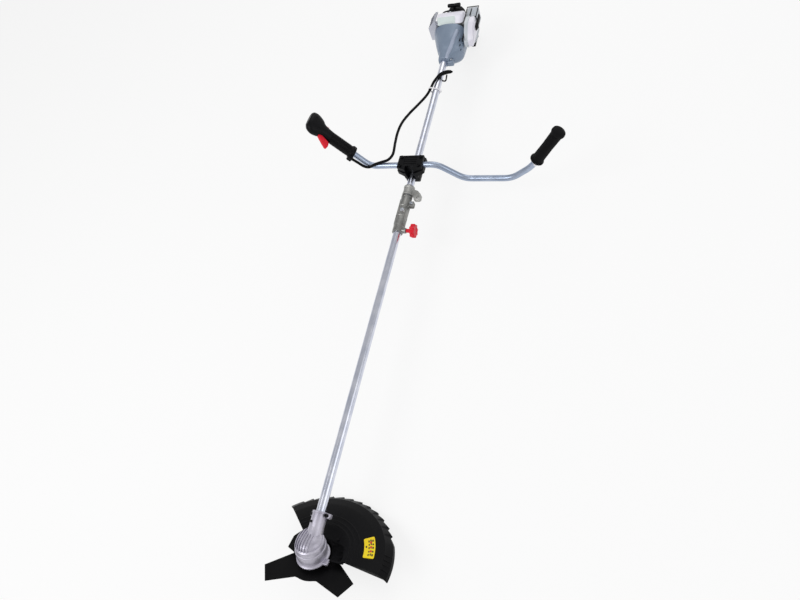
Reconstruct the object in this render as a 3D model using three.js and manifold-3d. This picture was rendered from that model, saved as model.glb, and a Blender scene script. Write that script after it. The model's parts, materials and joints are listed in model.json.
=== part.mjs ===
// Petrol brush cutter with a split shaft, a bull handlebar and a three-tooth blade.
// Millimetres. +Y runs along the shaft from the gear head to the engine, +X is the
// operator's left and +Z is up. The machine lies on the floor, on its guard and engine stand.
import * as THREE from "three";
import { mergeVertices } from "three/addons/utils/BufferGeometryUtils.js";
import Module from "manifold-3d";

const wasm = await Module();
wasm.setup();

// ---- driving dimensions -------------------------------------------------------------
const GAP = 0.3; // clearance between neighbouring pieces
const ROUND = 18; // sides of a large cylinder
const SMALL = 8; // sides of a small cylinder

const headTilt = 32; // degrees between the shaft and the blade plane
const tubeR = 12; // main tube, outside
const tubeWall = 1.5;
const shaftR = 4; // solid drive shaft

const bladeR = 127.5;
const bladeDrop = 46; // blade plane below the crossing of the two gear axes
const bladeThick = 2;
const bladeTurn = 212.8; // degrees, first tooth at rest

const coneDistance = 20; // outer cone distance of the bevel gears
const faceWidth = 7;
const pinionTeeth = 14;
const wheelTeeth = 19;

const neckEnd = 82; // free end of the gear head's socket
const neckBoltY = 75;
const guardRimR = 197;
const guardRimDrop = 52;
const guardWall = 3.2;

const lowerTubeStart = 60;
const tubeSplit = 985; // where the two tubes meet inside the coupler
const couplerStart = 902;
const couplerEnd = 1034;
const couplerR = 17.5;
const knobY = 911;
const barY = 1136.5; // handlebar axis in its clamp
const barZ = 30;
const barR = 9.5;
const barLean = 85; // degrees, handlebar plane above the shaft direction
const housingFront = 1612;
const housingRear = 1734;
const crankcaseFront = 1740;
const crankcaseRear = 1796;
const recoilRear = 1840;
const caseTop = 34; // joint between crankcase and cylinder
const cylinderY = 1767;
const pinPullX = 6;
const pinPullY = 972;

// ---- helpers ------------------------------------------------------------------------
const rad = THREE.MathUtils.degToRad;
const vec = (x, y, z) => new THREE.Vector3(x, y, z);

function signedVolume(position, index) {
  const a = new THREE.Vector3();
  const b = new THREE.Vector3();
  const c = new THREE.Vector3();
  let sum = 0;
  for (let i = 0; i < index.length; i += 3) {
    a.fromBufferAttribute(position, index[i]);
    b.fromBufferAttribute(position, index[i + 1]);
    c.fromBufferAttribute(position, index[i + 2]);
    sum += a.dot(b.cross(c));
  }
  return sum / 6;
}

// A solid from a closed three.js geometry, with its faces pointing out.
function solid(geometry) {
  const bare = geometry.clone();
  bare.deleteAttribute("normal");
  bare.deleteAttribute("uv");
  const merged = mergeVertices(bare, 1e-4);
  const triVerts = Uint32Array.from(merged.index.array);
  if (signedVolume(merged.attributes.position, triVerts) < 0) {
    for (let i = 0; i < triVerts.length; i += 3) {
      const first = triVerts[i];
      triVerts[i] = triVerts[i + 1];
      triVerts[i + 1] = first;
    }
  }
  const vertProperties = Float32Array.from(merged.attributes.position.array);
  return new wasm.Manifold(new wasm.Mesh({ numProp: 3, vertProperties, triVerts }));
}

function geometryOf(body) {
  const mesh = body.getMesh();
  const geometry = new THREE.BufferGeometry();
  geometry.setAttribute("position", new THREE.BufferAttribute(mesh.vertProperties.slice(), 3));
  geometry.setIndex(new THREE.BufferAttribute(mesh.triVerts.slice(), 1));
  geometry.computeVertexNormals();
  return geometry;
}

function box(x0, x1, y0, y1, z0, z1) {
  const geometry = new THREE.BoxGeometry(x1 - x0, y1 - y0, z1 - z0);
  geometry.translate((x0 + x1) / 2, (y0 + y1) / 2, (z0 + z1) / 2);
  return solid(geometry);
}

// Turned body about Z: profile is [radius, height] pairs, closed by the axis or by itself.
function turnZ(profile, sides = ROUND) {
  const points = profile.map(([r, h]) => new THREE.Vector2(r, h));
  const geometry = new THREE.LatheGeometry(points, sides);
  geometry.rotateX(Math.PI / 2);
  return solid(geometry);
}

// Rod between two heights on an axis "x", "y" or "z" through the point (a, b) of the other two.
function rod(axis, r, from, to, a = 0, b = 0, sides = ROUND) {
  const geometry = new THREE.CylinderGeometry(r, r, to - from, sides);
  const middle = (from + to) / 2;
  if (axis === "x") {
    geometry.rotateZ(Math.PI / 2);
    geometry.translate(middle, a, b);
  } else if (axis === "y") {
    geometry.translate(a, middle, b);
  } else {
    geometry.rotateX(Math.PI / 2);
    geometry.translate(a, b, middle);
  }
  return solid(geometry);
}

// Turned body about Y through (x, z); profile is [radius, y] pairs.
function turnY(profile, x = 0, z = 0, sides = ROUND) {
  const points = profile.map(([r, h]) => new THREE.Vector2(r, h));
  const geometry = new THREE.LatheGeometry(points, sides);
  geometry.translate(x, 0, z);
  return solid(geometry);
}

const ring = (r0, r1, from, to) => [[r0, from], [r1, from], [r1, to], [r0, to], [r0, from]];
const stack = (steps) => {
  const profile = [[0, steps[0][1]]];
  steps.forEach(([r, h]) => profile.push([r, h]));
  profile.push([0, steps[steps.length - 1][1]]);
  return profile;
};

const join = (...bodies) => bodies.reduce((a, b) => a.add(b));
const cut = (body, ...tools) => tools.reduce((a, b) => a.subtract(b), body);

// Flat plate in XY between two heights, from [x, y] outline points.
function plate(outline, z0, z1) {
  const shape = new THREE.Shape(outline.map(([x, y]) => new THREE.Vector2(x, y)));
  const geometry = new THREE.ExtrudeGeometry(shape, { depth: z1 - z0, bevelEnabled: false });
  geometry.translate(0, 0, z0);
  return solid(geometry);
}

// Round rod along a curve.
function rodAlong(curve, r, steps, sides = 10) {
  const outline = [];
  for (let i = 0; i < sides; i += 1) {
    const angle = (2 * Math.PI * i) / sides;
    outline.push(new THREE.Vector2(r * Math.cos(angle), r * Math.sin(angle)));
  }
  const options = { steps, extrudePath: curve, bevelEnabled: false };
  return solid(new THREE.ExtrudeGeometry(new THREE.Shape(outline), options));
}

// Skin through rounded-box sections stacked along Y. Each section is
// { y, x, z, w, h }: centre and half sizes; power sets how square the corners are.
function loft(sections, power = 2.8, sides = ROUND) {
  const corner = (value) => Math.sign(value) * Math.abs(value) ** (2 / power);
  const positions = [];
  sections.forEach(({ y, x = 0, z = 0, w, h }) => {
    for (let i = 0; i < sides; i += 1) {
      const angle = (2 * Math.PI * i) / sides;
      positions.push(x + w * corner(Math.cos(angle)), y, z + h * corner(Math.sin(angle)));
    }
  });
  const index = [];
  for (let s = 0; s < sections.length - 1; s += 1) {
    for (let i = 0; i < sides; i += 1) {
      const next = (i + 1) % sides;
      const a = s * sides + i;
      const b = s * sides + next;
      index.push(a, b, a + sides, b, b + sides, a + sides);
    }
  }
  const last = (sections.length - 1) * sides;
  for (let i = 1; i < sides - 1; i += 1) {
    index.push(0, i + 1, i, last, last + i, last + i + 1);
  }
  const geometry = new THREE.BufferGeometry();
  geometry.setAttribute("position", new THREE.Float32BufferAttribute(positions, 3));
  geometry.setIndex(index);
  return solid(geometry);
}

const grow = (sections, by) => sections.map((s) => ({ ...s, w: s.w + by, h: s.h + by }));

function moved(body, { x = 0, y = 0, z = 0, rx = 0, ry = 0, rz = 0 }) {
  return body.rotate([rx, ry, rz]).translate([x, y, z]);
}

// ---- scene graph --------------------------------------------------------------------
const paint = {
  black: { color: 0x17171b, roughness: 0.55, metalness: 0.0 },
  rubber: { color: 0x101012, roughness: 0.85, metalness: 0.0 },
  red: { color: 0xe0233a, roughness: 0.4, metalness: 0.0 },
  white: { color: 0xe8e6f0, roughness: 0.35, metalness: 0.0 },
  blueGrey: { color: 0x7f8fa5, roughness: 0.45, metalness: 0.0 },
  alloy: { color: 0xc9ccd6, roughness: 0.28, metalness: 1.0 },
  cast: { color: 0x8f8f93, roughness: 0.55, metalness: 0.9 },
  steel: { color: 0x9ea2a8, roughness: 0.35, metalness: 1.0 },
  blade: { color: 0x141416, roughness: 0.5, metalness: 0.4 },
  tank: { color: 0xd9dde2, roughness: 0.3, metalness: 0.0 },
};

const machine = new THREE.Group();
const head = new THREE.Group();
head.rotation.x = -rad(headTilt);
machine.add(head);

function put(name, body, finish, parent = machine) {
  const mesh = new THREE.Mesh(geometryOf(body), new THREE.MeshStandardMaterial(paint[finish]));
  mesh.name = name;
  parent.add(mesh);
  return mesh;
}

// ---- gear head, in the head's own frame: +Z is the blade axis, up from the blade ------
// The shaft leaves the crossing point along `toEngine` in this frame.
const intoHead = (body) => moved(body, { rx: headTilt });

function bevelGear(teeth, pitchAngle, turn) {
  const slope = rad(pitchAngle);
  const pitchR = coneDistance * Math.sin(slope);
  const pitchH = coneDistance * Math.cos(slope);
  const module = (2 * pitchR) / teeth;
  const inner = (coneDistance - faceWidth) / coneDistance;
  // A point on the outer end: height above the pitch cone and sideways angle.
  const endPoint = (rise, side) => {
    const r = pitchR + rise * Math.cos(slope);
    const h = pitchH - rise * Math.sin(slope);
    return vec(r * Math.cos(side), r * Math.sin(side), h);
  };
  const pitchStep = (2 * Math.PI) / teeth;
  const tip = 0.75 * module;
  const root = -0.95 * module;
  const rootR = pitchR + root * Math.cos(slope);
  const rootH = pitchH - root * Math.sin(slope);
  const backR = rootR - 3.2 * Math.cos(slope);
  const backH = rootH + 3.2 * Math.sin(slope);
  const profile = [
    [0, rootH * inner],
    [rootR * inner, rootH * inner],
    [rootR, rootH],
    [backR, backH],
    [0, backH],
  ];
  let body = turnZ(profile, teeth);
  for (let i = 0; i < teeth; i += 1) {
    const middle = rad(turn) + i * pitchStep;
    const outline = [
      [root - 0.4, -0.25],
      [tip, -0.11],
      [tip, 0.11],
      [root - 0.4, 0.25],
    ];
    const outer = outline.map(([rise, side]) => endPoint(rise, middle + side * pitchStep));
    const corners = [...outer, ...outer.map((p) => p.clone().multiplyScalar(inner))];
    const faces = [
      [0, 1, 2, 3],
      [7, 6, 5, 4],
      [0, 4, 5, 1],
      [1, 5, 6, 2],
      [2, 6, 7, 3],
      [3, 7, 4, 0],
    ];
    const index = faces.flatMap(([a, b, c, d]) => [a, b, c, a, c, d]);
    const tooth = new THREE.BufferGeometry().setFromPoints(corners);
    tooth.setIndex(index);
    body = body.add(solid(tooth));
  }
  return body;
}

const shaftAngle = 90 + headTilt;
const pinionAngle = THREE.MathUtils.radToDeg(
  Math.atan2(Math.sin(rad(shaftAngle)), wheelTeeth / pinionTeeth + Math.cos(rad(shaftAngle))),
);
const wheelAngle = shaftAngle - pinionAngle;

function gearHead() {
  const drum = turnZ(
    stack([[39, -34], [42, -32], [42, -28], [39, -25], [39, 6], [37, 12]]),
    24,
  ).translate([-2, 0, 0]);
  const dome = turnZ(stack([[33, 8], [33, 19], [25, 26], [9, 30]])).translate([-4, 4, 0]);
  const neck = turnY(stack([[19, 6], [21, 12], [20, 28], [19, 44], [19, neckEnd]]));
  const lug = box(14, 31, 68, neckEnd - 1, -9, 9);
  const wheelRoom = turnZ(stack([[24, -25.5], [24, -2], [20, 0]]));
  const pinionRoom = rod("y", 17.2, 1, 27);
  const bore = rod("y", tubeR + GAP, 58, neckEnd + 2);
  const shaftRoom = rod("y", 9, 20, 60);
  const shaftExit = rod("z", 7.5, -40, -20);
  const boltHole = rod("z", 2.8, -12, 12, 23, neckBoltY, SMALL);
  const slit = box(15, 33, 66, neckEnd + 2, -0.8, 0.8);
  const neckInHead = intoHead(cut(join(neck, lug), boltHole, slit));
  let body = join(drum, dome, neckInHead);
  body = cut(body, wheelRoom, shaftExit, intoHead(join(pinionRoom, shaftRoom, bore)));
  return body;
}

put("gear_case", gearHead(), "cast", head);
put(
  "gear_case_bolt",
  join(rod("z", 5, 9 + GAP, 14, 23, neckBoltY, 6), rod("z", 2.5, -14, 10, 23, neckBoltY, SMALL)),
  "steel",
);

// The wheel faces up towards the crossing point, so it is turned over.
const wheelBlank = moved(bevelGear(wheelTeeth, wheelAngle, 0), { rx: 180 });
const wheelBody = join(wheelBlank, rod("z", 12, -18, -7));
put("bevel_gear", cut(wheelBody, rod("z", 7 + GAP, -30, 5)), "steel", head);

const spindle = turnZ(
  stack([[7, -66], [7, -48], [12, -48], [12, -44.7], [26, -44.7], [26, -39], [7, -38], [7, -6]]),
);
put("output_shaft", spindle, "steel", head);

// ---- three-tooth blade and its fasteners ---------------------------------------------
function bladeOutline() {
  const outline = [];
  for (let k = 0; k < 3; k += 1) {
    const middle = bladeTurn + 120 * k;
    [[63, -33], [bladeR, -10.5], [bladeR, 10.5], [63, 33], [61, 46], [61, 60], [61, 74]].forEach(
      ([r, offset]) => {
        const angle = rad(middle + offset);
        outline.push([r * Math.cos(angle), r * Math.sin(angle)]);
      },
    );
  }
  return outline;
}

const bladeTop = -bladeDrop + bladeThick / 2;
const bladeBody = cut(
  plate(bladeOutline(), bladeTop - bladeThick, bladeTop),
  rod("z", 12 + GAP, -60, -30),
);
put("blade", bladeBody, "blade", head);
put(
  "blade_flange",
  turnZ([[7 + GAP, -48 - GAP], [30, -48 - GAP], [28, -52], [14, -55], [7 + GAP, -55], [7 + GAP, -48 - GAP]]),
  "steel",
  head,
);
put(
  "blade_nut",
  cut(rod("z", 11, -63, -55 - GAP, 0, 0, 6), rod("z", 7 + GAP, -70, -50)),
  "steel",
  head,
);

// ---- guard ---------------------------------------------------------------------------
function guardBody() {
  const top = [
    [46.5, -27],
    [76, -27],
    [84, -23],
    [150, -25],
    [176, -31],
    [192, -42],
    [guardRimR, -guardRimDrop],
  ];
  const under = top.map(([r, z], i) => {
    const last = i === top.length - 1;
    return [r - (i > 3 ? guardWall * 0.8 : 0), last ? z : z - guardWall];
  });
  const profile = [...top, ...under.reverse(), top[0]];
  const shell = turnZ(profile, 40);
  const outer = 240;
  const sweep = [];
  for (let a = 0; a <= 8; a += 1) {
    const angle = rad(-3 + (a * (138 + 3)) / 8);
    sweep.push([outer * Math.cos(angle), outer * Math.sin(angle)]);
  }
  const wedge = plate([[48, -8], [74, -8], [150, -2], ...sweep, [-79, 69], [-75, 2], [-50, -8]], -80, 20);
  return shell.intersect(wedge);
}
put("guard", guardBody(), "black", head);

// ---- lower tube and drive --------------------------------------------------------------
put("lower_tube", turnY(ring(tubeR - tubeWall, tubeR, lowerTubeStart, tubeSplit - 1)), "alloy");

const pinionTurn = 5.4; // sets a pinion gap against a wheel tooth
const pinionBody = moved(bevelGear(pinionTeeth, pinionAngle, pinionTurn), { rx: -90 });
put("pinion", cut(pinionBody, rod("y", shaftR + GAP, 0, 40)), "steel");

const squareEnd = box(-3.5, 3.5, 966, 1000, -3.5, 3.5);
put("lower_drive_shaft", join(rod("y", shaftR, 9, 968, 0, 0, SMALL), squareEnd), "steel");

// ---- upper tube, drive and clutch ------------------------------------------------------
put("upper_tube", turnY(ring(tubeR - tubeWall, tubeR, tubeSplit, housingFront + 22)), "alloy");

const socket = cut(rod("y", 8.5, 980, 1012), box(-4.2, 4.2, 970, 1004, -4.2, 4.2));
put("upper_drive_shaft", join(rod("y", shaftR, 1011, 1666, 0, 0, SMALL), socket), "steel");
put(
  "clutch_drum",
  turnY([
    [shaftR + GAP, 1662], [30, 1662], [30, 1690], [27.5, 1690], [27.5, 1665.5],
    [shaftR + GAP, 1665.5], [shaftR + GAP, 1662],
  ]),
  "steel",
);

// ---- split-shaft coupler ---------------------------------------------------------------
const couplerTube = turnY(ring(tubeR + GAP, couplerR, couplerStart, couplerEnd));
const knobBoss = rod("x", 8.5, 13, 27, knobY, 0, 16);
const clampEar = box(13, 31, 996, 1014, -9, 9);
const boreThrough = rod("y", tubeR + GAP, couplerStart - 5, couplerEnd + 5);
const couplerBody = cut(
  join(couplerTube, knobBoss, clampEar, rod("z", 7.5, 12, 21, pinPullX, pinPullY, 16)),
  boreThrough,
  rod("x", 3.4, 5, 40, knobY, 0, SMALL),
  rod("z", 2.9, -12, 12, 24, 1005, SMALL),
  box(13.5, 35, 990, couplerEnd + 5, -0.8, 0.8),
  rod("z", 3.3, 5, 30, pinPullX, pinPullY, SMALL),
);
put("coupler_body", couplerBody, "cast");
put(
  "coupler_bolt",
  join(rod("z", 5, 9 + GAP, 14, 24, 1005, 6), rod("z", 2.5, -13, 10, 24, 1005, SMALL)),
  "steel",
);
put(
  "coupler_pin",
  join(rod("z", 3, 13, 22, pinPullX, pinPullY, SMALL), rod("z", 6, 21 + GAP, 27, pinPullX, pinPullY, 16)),
  "steel",
);

function couplerKnob() {
  let grip = rod("x", 17, 43, 58, knobY, 0, ROUND);
  for (let i = 0; i < 8; i += 1) {
    const angle = rad(45 * i);
    const lobe = rod("x", 5.4, 43, 58, knobY + 16 * Math.cos(angle), 16 * Math.sin(angle), 10);
    grip = grip.add(lobe);
  }
  return join(grip, rod("x", 6, 28, 44, knobY, 0, 16), rod("x", 3, 12.8, 30, knobY, 0, SMALL));
}
put("coupler_knob", couplerKnob(), "red");

const ear = plate(
  [[12, 1062], [12, 1041], [21, 1036], [28, 1020], [48, 1020], [48, 1042], [30, 1058]],
  -6,
  6,
);
const bracket = cut(
  join(turnY(ring(tubeR + GAP, couplerR, 1038, 1072)), ear),
  rod("y", tubeR + GAP, 1030, 1080),
  rod("z", 5.5, -10, 10, 38, 1031, 16),
);
put("harness_bracket", bracket, "cast");

// ---- handlebar clamp -------------------------------------------------------------------
const boltPlaces = [[-31, 1122.5], [31, 1122.5], [-31, 1155], [31, 1155]];
const boltHoles = boltPlaces.map(([x, y]) => rod("z", 3 + GAP, 0, 60, x, y, SMALL));
const barBore = rod("x", barR + GAP, -60, 60, barY, barZ);
const tubeBore = rod("y", tubeR + GAP, 1070, 1190);

put("clamp_lower", cut(box(-23, 23, 1108, 1158, -20, -GAP / 2), tubeBore), "black");
const middleBlock = join(
  box(-23, 23, 1106, 1162, GAP / 2, 20),
  plate([[-20, 1104], [22, 1104], [43, 1116], [43, 1164], [-43, 1164], [-43, 1116]], 14, barZ - GAP / 2),
);
const clampNotch = box(-13, 13, 1090, 1122, GAP / 2, 60); // open front over the tube
put("clamp_middle", cut(middleBlock, tubeBore, barBore, clampNotch, ...boltHoles), "black");
const capBlock = plate(
  [[-17, 1107], [18, 1107], [41, 1117], [41, 1162], [-41, 1162], [-41, 1117]],
  barZ + GAP / 2,
  45,
);
put("clamp_cap", cut(capBlock, barBore, clampNotch, ...boltHoles), "black");
boltPlaces.forEach(([x, y], i) => {
  const headPart = rod("z", 5, 45 + GAP, 49.5, x, y, 6);
  put(`clamp_bolt_${i + 1}`, join(headPart, rod("z", 3, 10, 47, x, y, SMALL)), "steel");
});

// ---- handlebar -------------------------------------------------------------------------
const lean = rad(barLean);
// A point of the handlebar's plane: x sideways, s up the plane.
const onBar = (x, s) => vec(x, barY + s * Math.cos(lean), barZ + s * Math.sin(lean));
const leftLeg = { from: [372, -20], turn: 34.6, length: 152 };
const rightLeg = { from: [-140, 0], turn: -36, length: 172 };
const along = ({ from, turn }, t) => [
  from[0] + t * Math.sin(rad(turn)),
  from[1] + t * Math.cos(rad(turn)),
];

function bentPath(corners, setback) {
  const path = new THREE.CurvePath();
  let start = corners[0];
  for (let i = 1; i < corners.length - 1; i += 1) {
    const before = corners[i].clone().add(corners[i - 1].clone().sub(corners[i]).setLength(setback));
    const after = corners[i].clone().add(corners[i + 1].clone().sub(corners[i]).setLength(setback));
    path.add(new THREE.LineCurve3(start, before));
    path.add(new THREE.QuadraticBezierCurve3(before, corners[i], after));
    start = after;
  }
  path.add(new THREE.LineCurve3(start, corners[corners.length - 1]));
  return path;
}

const barCorners = [
  along(rightLeg, rightLeg.length),
  rightLeg.from,
  [84, 0],
  [160, -64],
  [308, -66],
  leftLeg.from,
  along(leftLeg, leftLeg.length),
].map(([x, s]) => onBar(x, s));
put("handlebar", rodAlong(bentPath(barCorners, 24), barR, 40, 10), "alloy");

// Frame of a leg: local Y up the leg, local Z to the front of the machine.
function legGroup(leg) {
  const origin = onBar(...leg.from);
  const up = onBar(...along(leg, 1)).sub(origin).normalize();
  const front = vec(0, -Math.sin(lean), Math.cos(lean));
  const side = up.clone().cross(front);
  const group = new THREE.Group();
  group.quaternion.setFromRotationMatrix(new THREE.Matrix4().makeBasis(side, up, front));
  group.position.copy(origin);
  machine.add(group);
  return group;
}

const leftGroup = legGroup(leftLeg);
const rightGroup = legGroup(rightLeg);

put(
  "rubber_grip",
  turnY([
    [barR + GAP, 34], [21, 34], [21, 38], [16.5, 40], [15.5, 96], [16.5, 148], [20, 153],
    [19.5, 160], [12, 163.5], [0, 164], [0, 152 + GAP], [barR + GAP, 152 + GAP], [barR + GAP, 34],
  ]),
  "rubber",
  leftGroup,
);

// ---- throttle grip, trigger and stop switch ----------------------------------------------
const gripSections = [
  { y: 70, z: 0, w: 20, h: 21 },
  { y: 82, z: 0, w: 20, h: 21 },
  { y: 86, z: 0, w: 17, h: 18 },
  { y: 160, z: 0, w: 17, h: 18 },
  { y: 188, z: -2, w: 17.5, h: 21 },
  { y: 202, z: -5, w: 18, h: 31 },
  { y: 220, z: -7, w: 18.5, h: 37 },
  { y: 236, z: -9, w: 17, h: 33 },
  { y: 243, z: -10, w: 12, h: 24 },
];
const gripWhole = cut(
  join(loft(gripSections, 2.3, ROUND), box(-9, 9, 68, 84, 14, 30)),
  rod("y", barR + GAP, 50, rightLeg.length + 0.6),
  box(-6, 6, 155, 199, 11.5, 50),
  box(-5, 5, 173, 193, -34, -12),
);
put("throttle_grip_left", gripWhole.intersect(box(GAP / 2, 60, 0, 300, -80, 80)), "black", rightGroup);
put("throttle_grip_right", gripWhole.intersect(box(-60, -GAP / 2, 0, 300, -80, 80)), "black", rightGroup);

// The trigger lies in the Y-Z plane of the grip and turns about a pin across it.
function acrossGrip(outline, halfWidth) {
  const body = plate(outline, -halfWidth, halfWidth);
  return body.rotate([0, -90, 0]);
}
const triggerOutline = [[24, 197], [17, 197], [14, 193], [24, 160], [27, 158], [36, 156], [46, 156.5], [48, 163], [41, 175], [31, 188]];
put("throttle_trigger", acrossGrip(triggerOutline.map(([z, y]) => [z, y]), 5.2), "red", rightGroup);
put("stop_switch", box(-4.5, 4.5, 174, 185, -27, -12.6), "red", rightGroup);

// ---- cables ------------------------------------------------------------------------------
const sleeveStart = onBar(...along(rightLeg, 67.5)).add(vec(0, -21.9, 1.9)); // under the grip
const sleeveRoute = new THREE.CatmullRomCurve3([
  sleeveStart,
  vec(-166.4, 1119.8, 68),
  vec(-152.9, 1120.1, 49.3),
  vec(-137, 1123, 41.5),
  vec(-118, 1131, 45),
  vec(-98, 1138.5, 45.2),
  vec(-80, 1146, 44.5),
  vec(-71, 1162, 42),
  vec(-71, 1185, 37),
  vec(-79, 1230, 30),
  vec(-84, 1280, 25),
  vec(-81, 1325, 20),
  vec(-66, 1368, 16),
  vec(-44, 1408, 14),
  vec(-25, 1445, 13),
  vec(-17, 1475, 12.5),
  vec(-9, 1504, 17),
  vec(6, 1530, 19),
  vec(26, 1546, 15),
  vec(44, 1556, 6),
]);
put("cable_sleeve", rodAlong(sleeveRoute, 4.5, 60, 8), "rubber");
const cableRoute = new THREE.CatmullRomCurve3([
  vec(27, 1540.5, 8),
  vec(17, 1537, -14),
  vec(-4, 1556, -23),
  vec(-14, 1600, -28),
  vec(-17, 1640, -40),
  vec(-12, 1665, -53),
  vec(2, 1700, -65),
  vec(24, 1730, -68),
  vec(46, 1742, -44),
  vec(47, 1756, -14),
  vec(50, 1770, 2),
  vec(54, 1777, 12),
]);
put("throttle_cable", rodAlong(cableRoute, 2.5, 24, 8), "rubber");

// Band drawn round the tube and the sleeve lying on it.
function bandOutline(grown) {
  const discs = [[0, 0, tubeR + GAP + grown], [-17, 12.5, 4.5 + GAP + grown]];
  const outline = [];
  for (let i = 0; i < 28; i += 1) {
    const angle = (2 * Math.PI * i) / 28;
    const reach = ([x, z, r]) => x * Math.cos(angle) + z * Math.sin(angle) + r;
    const [x, z, r] = reach(discs[0]) > reach(discs[1]) ? discs[0] : discs[1];
    outline.push([x + r * Math.cos(angle), z + r * Math.sin(angle)]);
  }
  return outline;
}
const band = cut(plate(bandOutline(2.2), 0, 4.5), plate(bandOutline(0.6), -1, 6));
put("zip_tie", moved(band, { rx: 90, y: 1478 }), "white");

// ---- clutch housing ------------------------------------------------------------------------
const housingSections = [
  { y: housingFront, x: 1, w: 20, h: 20 },
  { y: housingFront + 8, x: 3, w: 24, h: 23 },
  { y: 1636, x: 14, w: 36, h: 32 },
  { y: 1652, x: 16, w: 46, h: 42 },
  { y: 1700, x: 8, w: 56, h: 52 },
  { y: housingRear, x: 4, w: 61, h: 58 },
];
const housingRoom = grow(housingSections.slice(2), -3.5);
housingRoom[housingRoom.length - 1].y = housingRear + 5;
const housingBody = cut(
  join(loft(housingSections, 2.5, 24), box(12, 34, housingFront - 6, housingFront + 16, -16, 4)),
  loft(housingRoom, 2.5, 24),
  rod("y", tubeR + GAP, housingFront - 10, housingFront + 30),
);
put("clutch_housing", housingBody, "blueGrey");

// ---- crank train -----------------------------------------------------------------------------
function crankshaft() {
  return join(
    rod("y", 7, 1668, 1762, 0, 0, 16),
    rod("y", 22, 1757, 1763),
    rod("y", 5, 1762, 1772, 0, 13, SMALL),
    rod("y", 22, 1771, 1777),
    rod("y", 7, 1772, 1818, 0, 0, 16),
  );
}
put("crankshaft", crankshaft(), "steel");

function flywheel() {
  let body = rod("y", 45, 1718, 1724);
  for (let i = 0; i < 12; i += 1) {
    const blade = box(26, 44, 1703, 1719, -1.2, 1.2);
    body = body.add(moved(blade, { ry: 30 * i }));
  }
  return cut(join(body, rod("y", 16, 1705, 1730)), rod("y", 7 + GAP, 1690, 1735, 0, 0, 16));
}
put("flywheel", flywheel(), "alloy");

function clutchShoes() {
  const disc = rod("y", 25.5, 1669, 1685);
  const split = box(-2, 2, 1660, 1690, 13, 40);
  const shoes = cut(disc, split, moved(split, { ry: 180 }), rod("y", 7 + GAP, 1660, 1690, 0, 0, 16));
  return shoes;
}
put("clutch_shoes", clutchShoes(), "steel");

const caseBlock = box(-40, 40, crankcaseFront, crankcaseRear, -46, caseTop);
const crankcaseBody = cut(
  caseBlock,
  rod("y", 7 + GAP, crankcaseFront - 5, crankcaseRear + 5),
  rod("y", 25, 1753, 1781),
  rod("z", 15, 0, 60, 0, cylinderY),
);
put("crankcase", crankcaseBody, "cast");

const plugZ = 54;
const intakeY = 1751;
const intakeZ = 40;

function cylinderBody() {
  const base = caseTop + GAP;
  const profile = [[15, base], [25, base], [25, base + 3]];
  [[38, 25], [42, 25], [50, 21.5], [55, 18]].forEach(([z, r]) => {
    profile.push([18, z - 2.4], [18, z], [r, z + 0.3], [r, z + 2.4]);
  });
  profile.push([15, 60], [4, 62], [4, 57], [15, 55], [15, base]);
  const barrel = turnZ(profile, 14).translate([0, cylinderY, 0]);
  const port = box(14, 41, intakeY - 8, intakeY + 8, 35, 46);
  const plugBoss = rod("y", 7, cylinderY + 13, 1789, 0, plugZ, SMALL);
  return join(barrel, port, plugBoss);
}
const portBore = rod("x", 4.2, 8, 50, intakeY, intakeZ, SMALL);
const plugBore = rod("y", 4.4, cylinderY + 6, 1800, 0, plugZ, SMALL);
put("cylinder", cut(cylinderBody(), portBore, plugBore), "cast");

const plug = turnY(
  stack([[4, 1776], [4, 1789 + GAP], [8, 1789 + GAP], [8, 1793], [3.5, 1793], [3.5, 1803]]),
  0,
  plugZ,
  SMALL,
);
put("spark_plug", plug, "steel");

// ---- top cowl, with its plug cap -----------------------------------------------------------
// The cowl's sections are stacked upwards, so it is lofted along Y and stood up.
const cowlSections = [
  { y: 50, z: 1, w: 48, h: 29 },
  { y: 55, z: 1, w: 48, h: 29 },
  { y: 62, z: -4, w: 46, h: 22 },
  { y: 69, z: -8, w: 44, h: 15 },
  { y: 71.5, z: -9, w: 40, h: 11 },
];
const cowlRoom = grow(cowlSections, -2.4);
cowlRoom[0].y = 45;
cowlRoom.slice(1).forEach((section) => {
  section.y -= 2.4;
});
const standUp = (body) => moved(body, { rx: 90 }).mirror([0, 1, 0]).translate([8, cylinderY, 0]);
const cowlShell = standUp(cut(loft(cowlSections, 5, 24), loft(cowlRoom, 5, 24)));
put("cylinder_cowl", cut(cowlShell, rod("y", 9, 1774, 1820, 0, plugZ, SMALL)), "white");

// ---- exhaust -----------------------------------------------------------------------------------
const outletX = -54;
const outletZ = 14;
const outlet = rod("y", 5, 1781, 1794, outletX, outletZ, SMALL);
put("muffler", join(box(-64, -43, 1746, 1782, 6, 38), outlet), "steel");
// Cover with a sloping top, drawn in X-Z and run along Y.
const alongY = (outline, from, to) => moved(plate(outline, -to, -from), { rx: 90 });
const guardOuter = alongY([[-42, -6], [-73, -6], [-73, 44], [-50, 68], [-42, 68]], 1738, 1790);
const guardInner = alongY([[-30, -9], [-70, -9], [-70, 43], [-48.5, 65], [-30, 65]], 1741, 1787);
const louvres = [0, 1, 2, 3].map((i) => box(-80, -68, 1744 + 11 * i, 1750 + 11 * i, 4, 38));
const outletHole = rod("y", 6.5, 1780, 1800, outletX, outletZ, SMALL);
put("muffler_guard", cut(guardOuter, guardInner, outletHole, ...louvres), "alloy");

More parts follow.
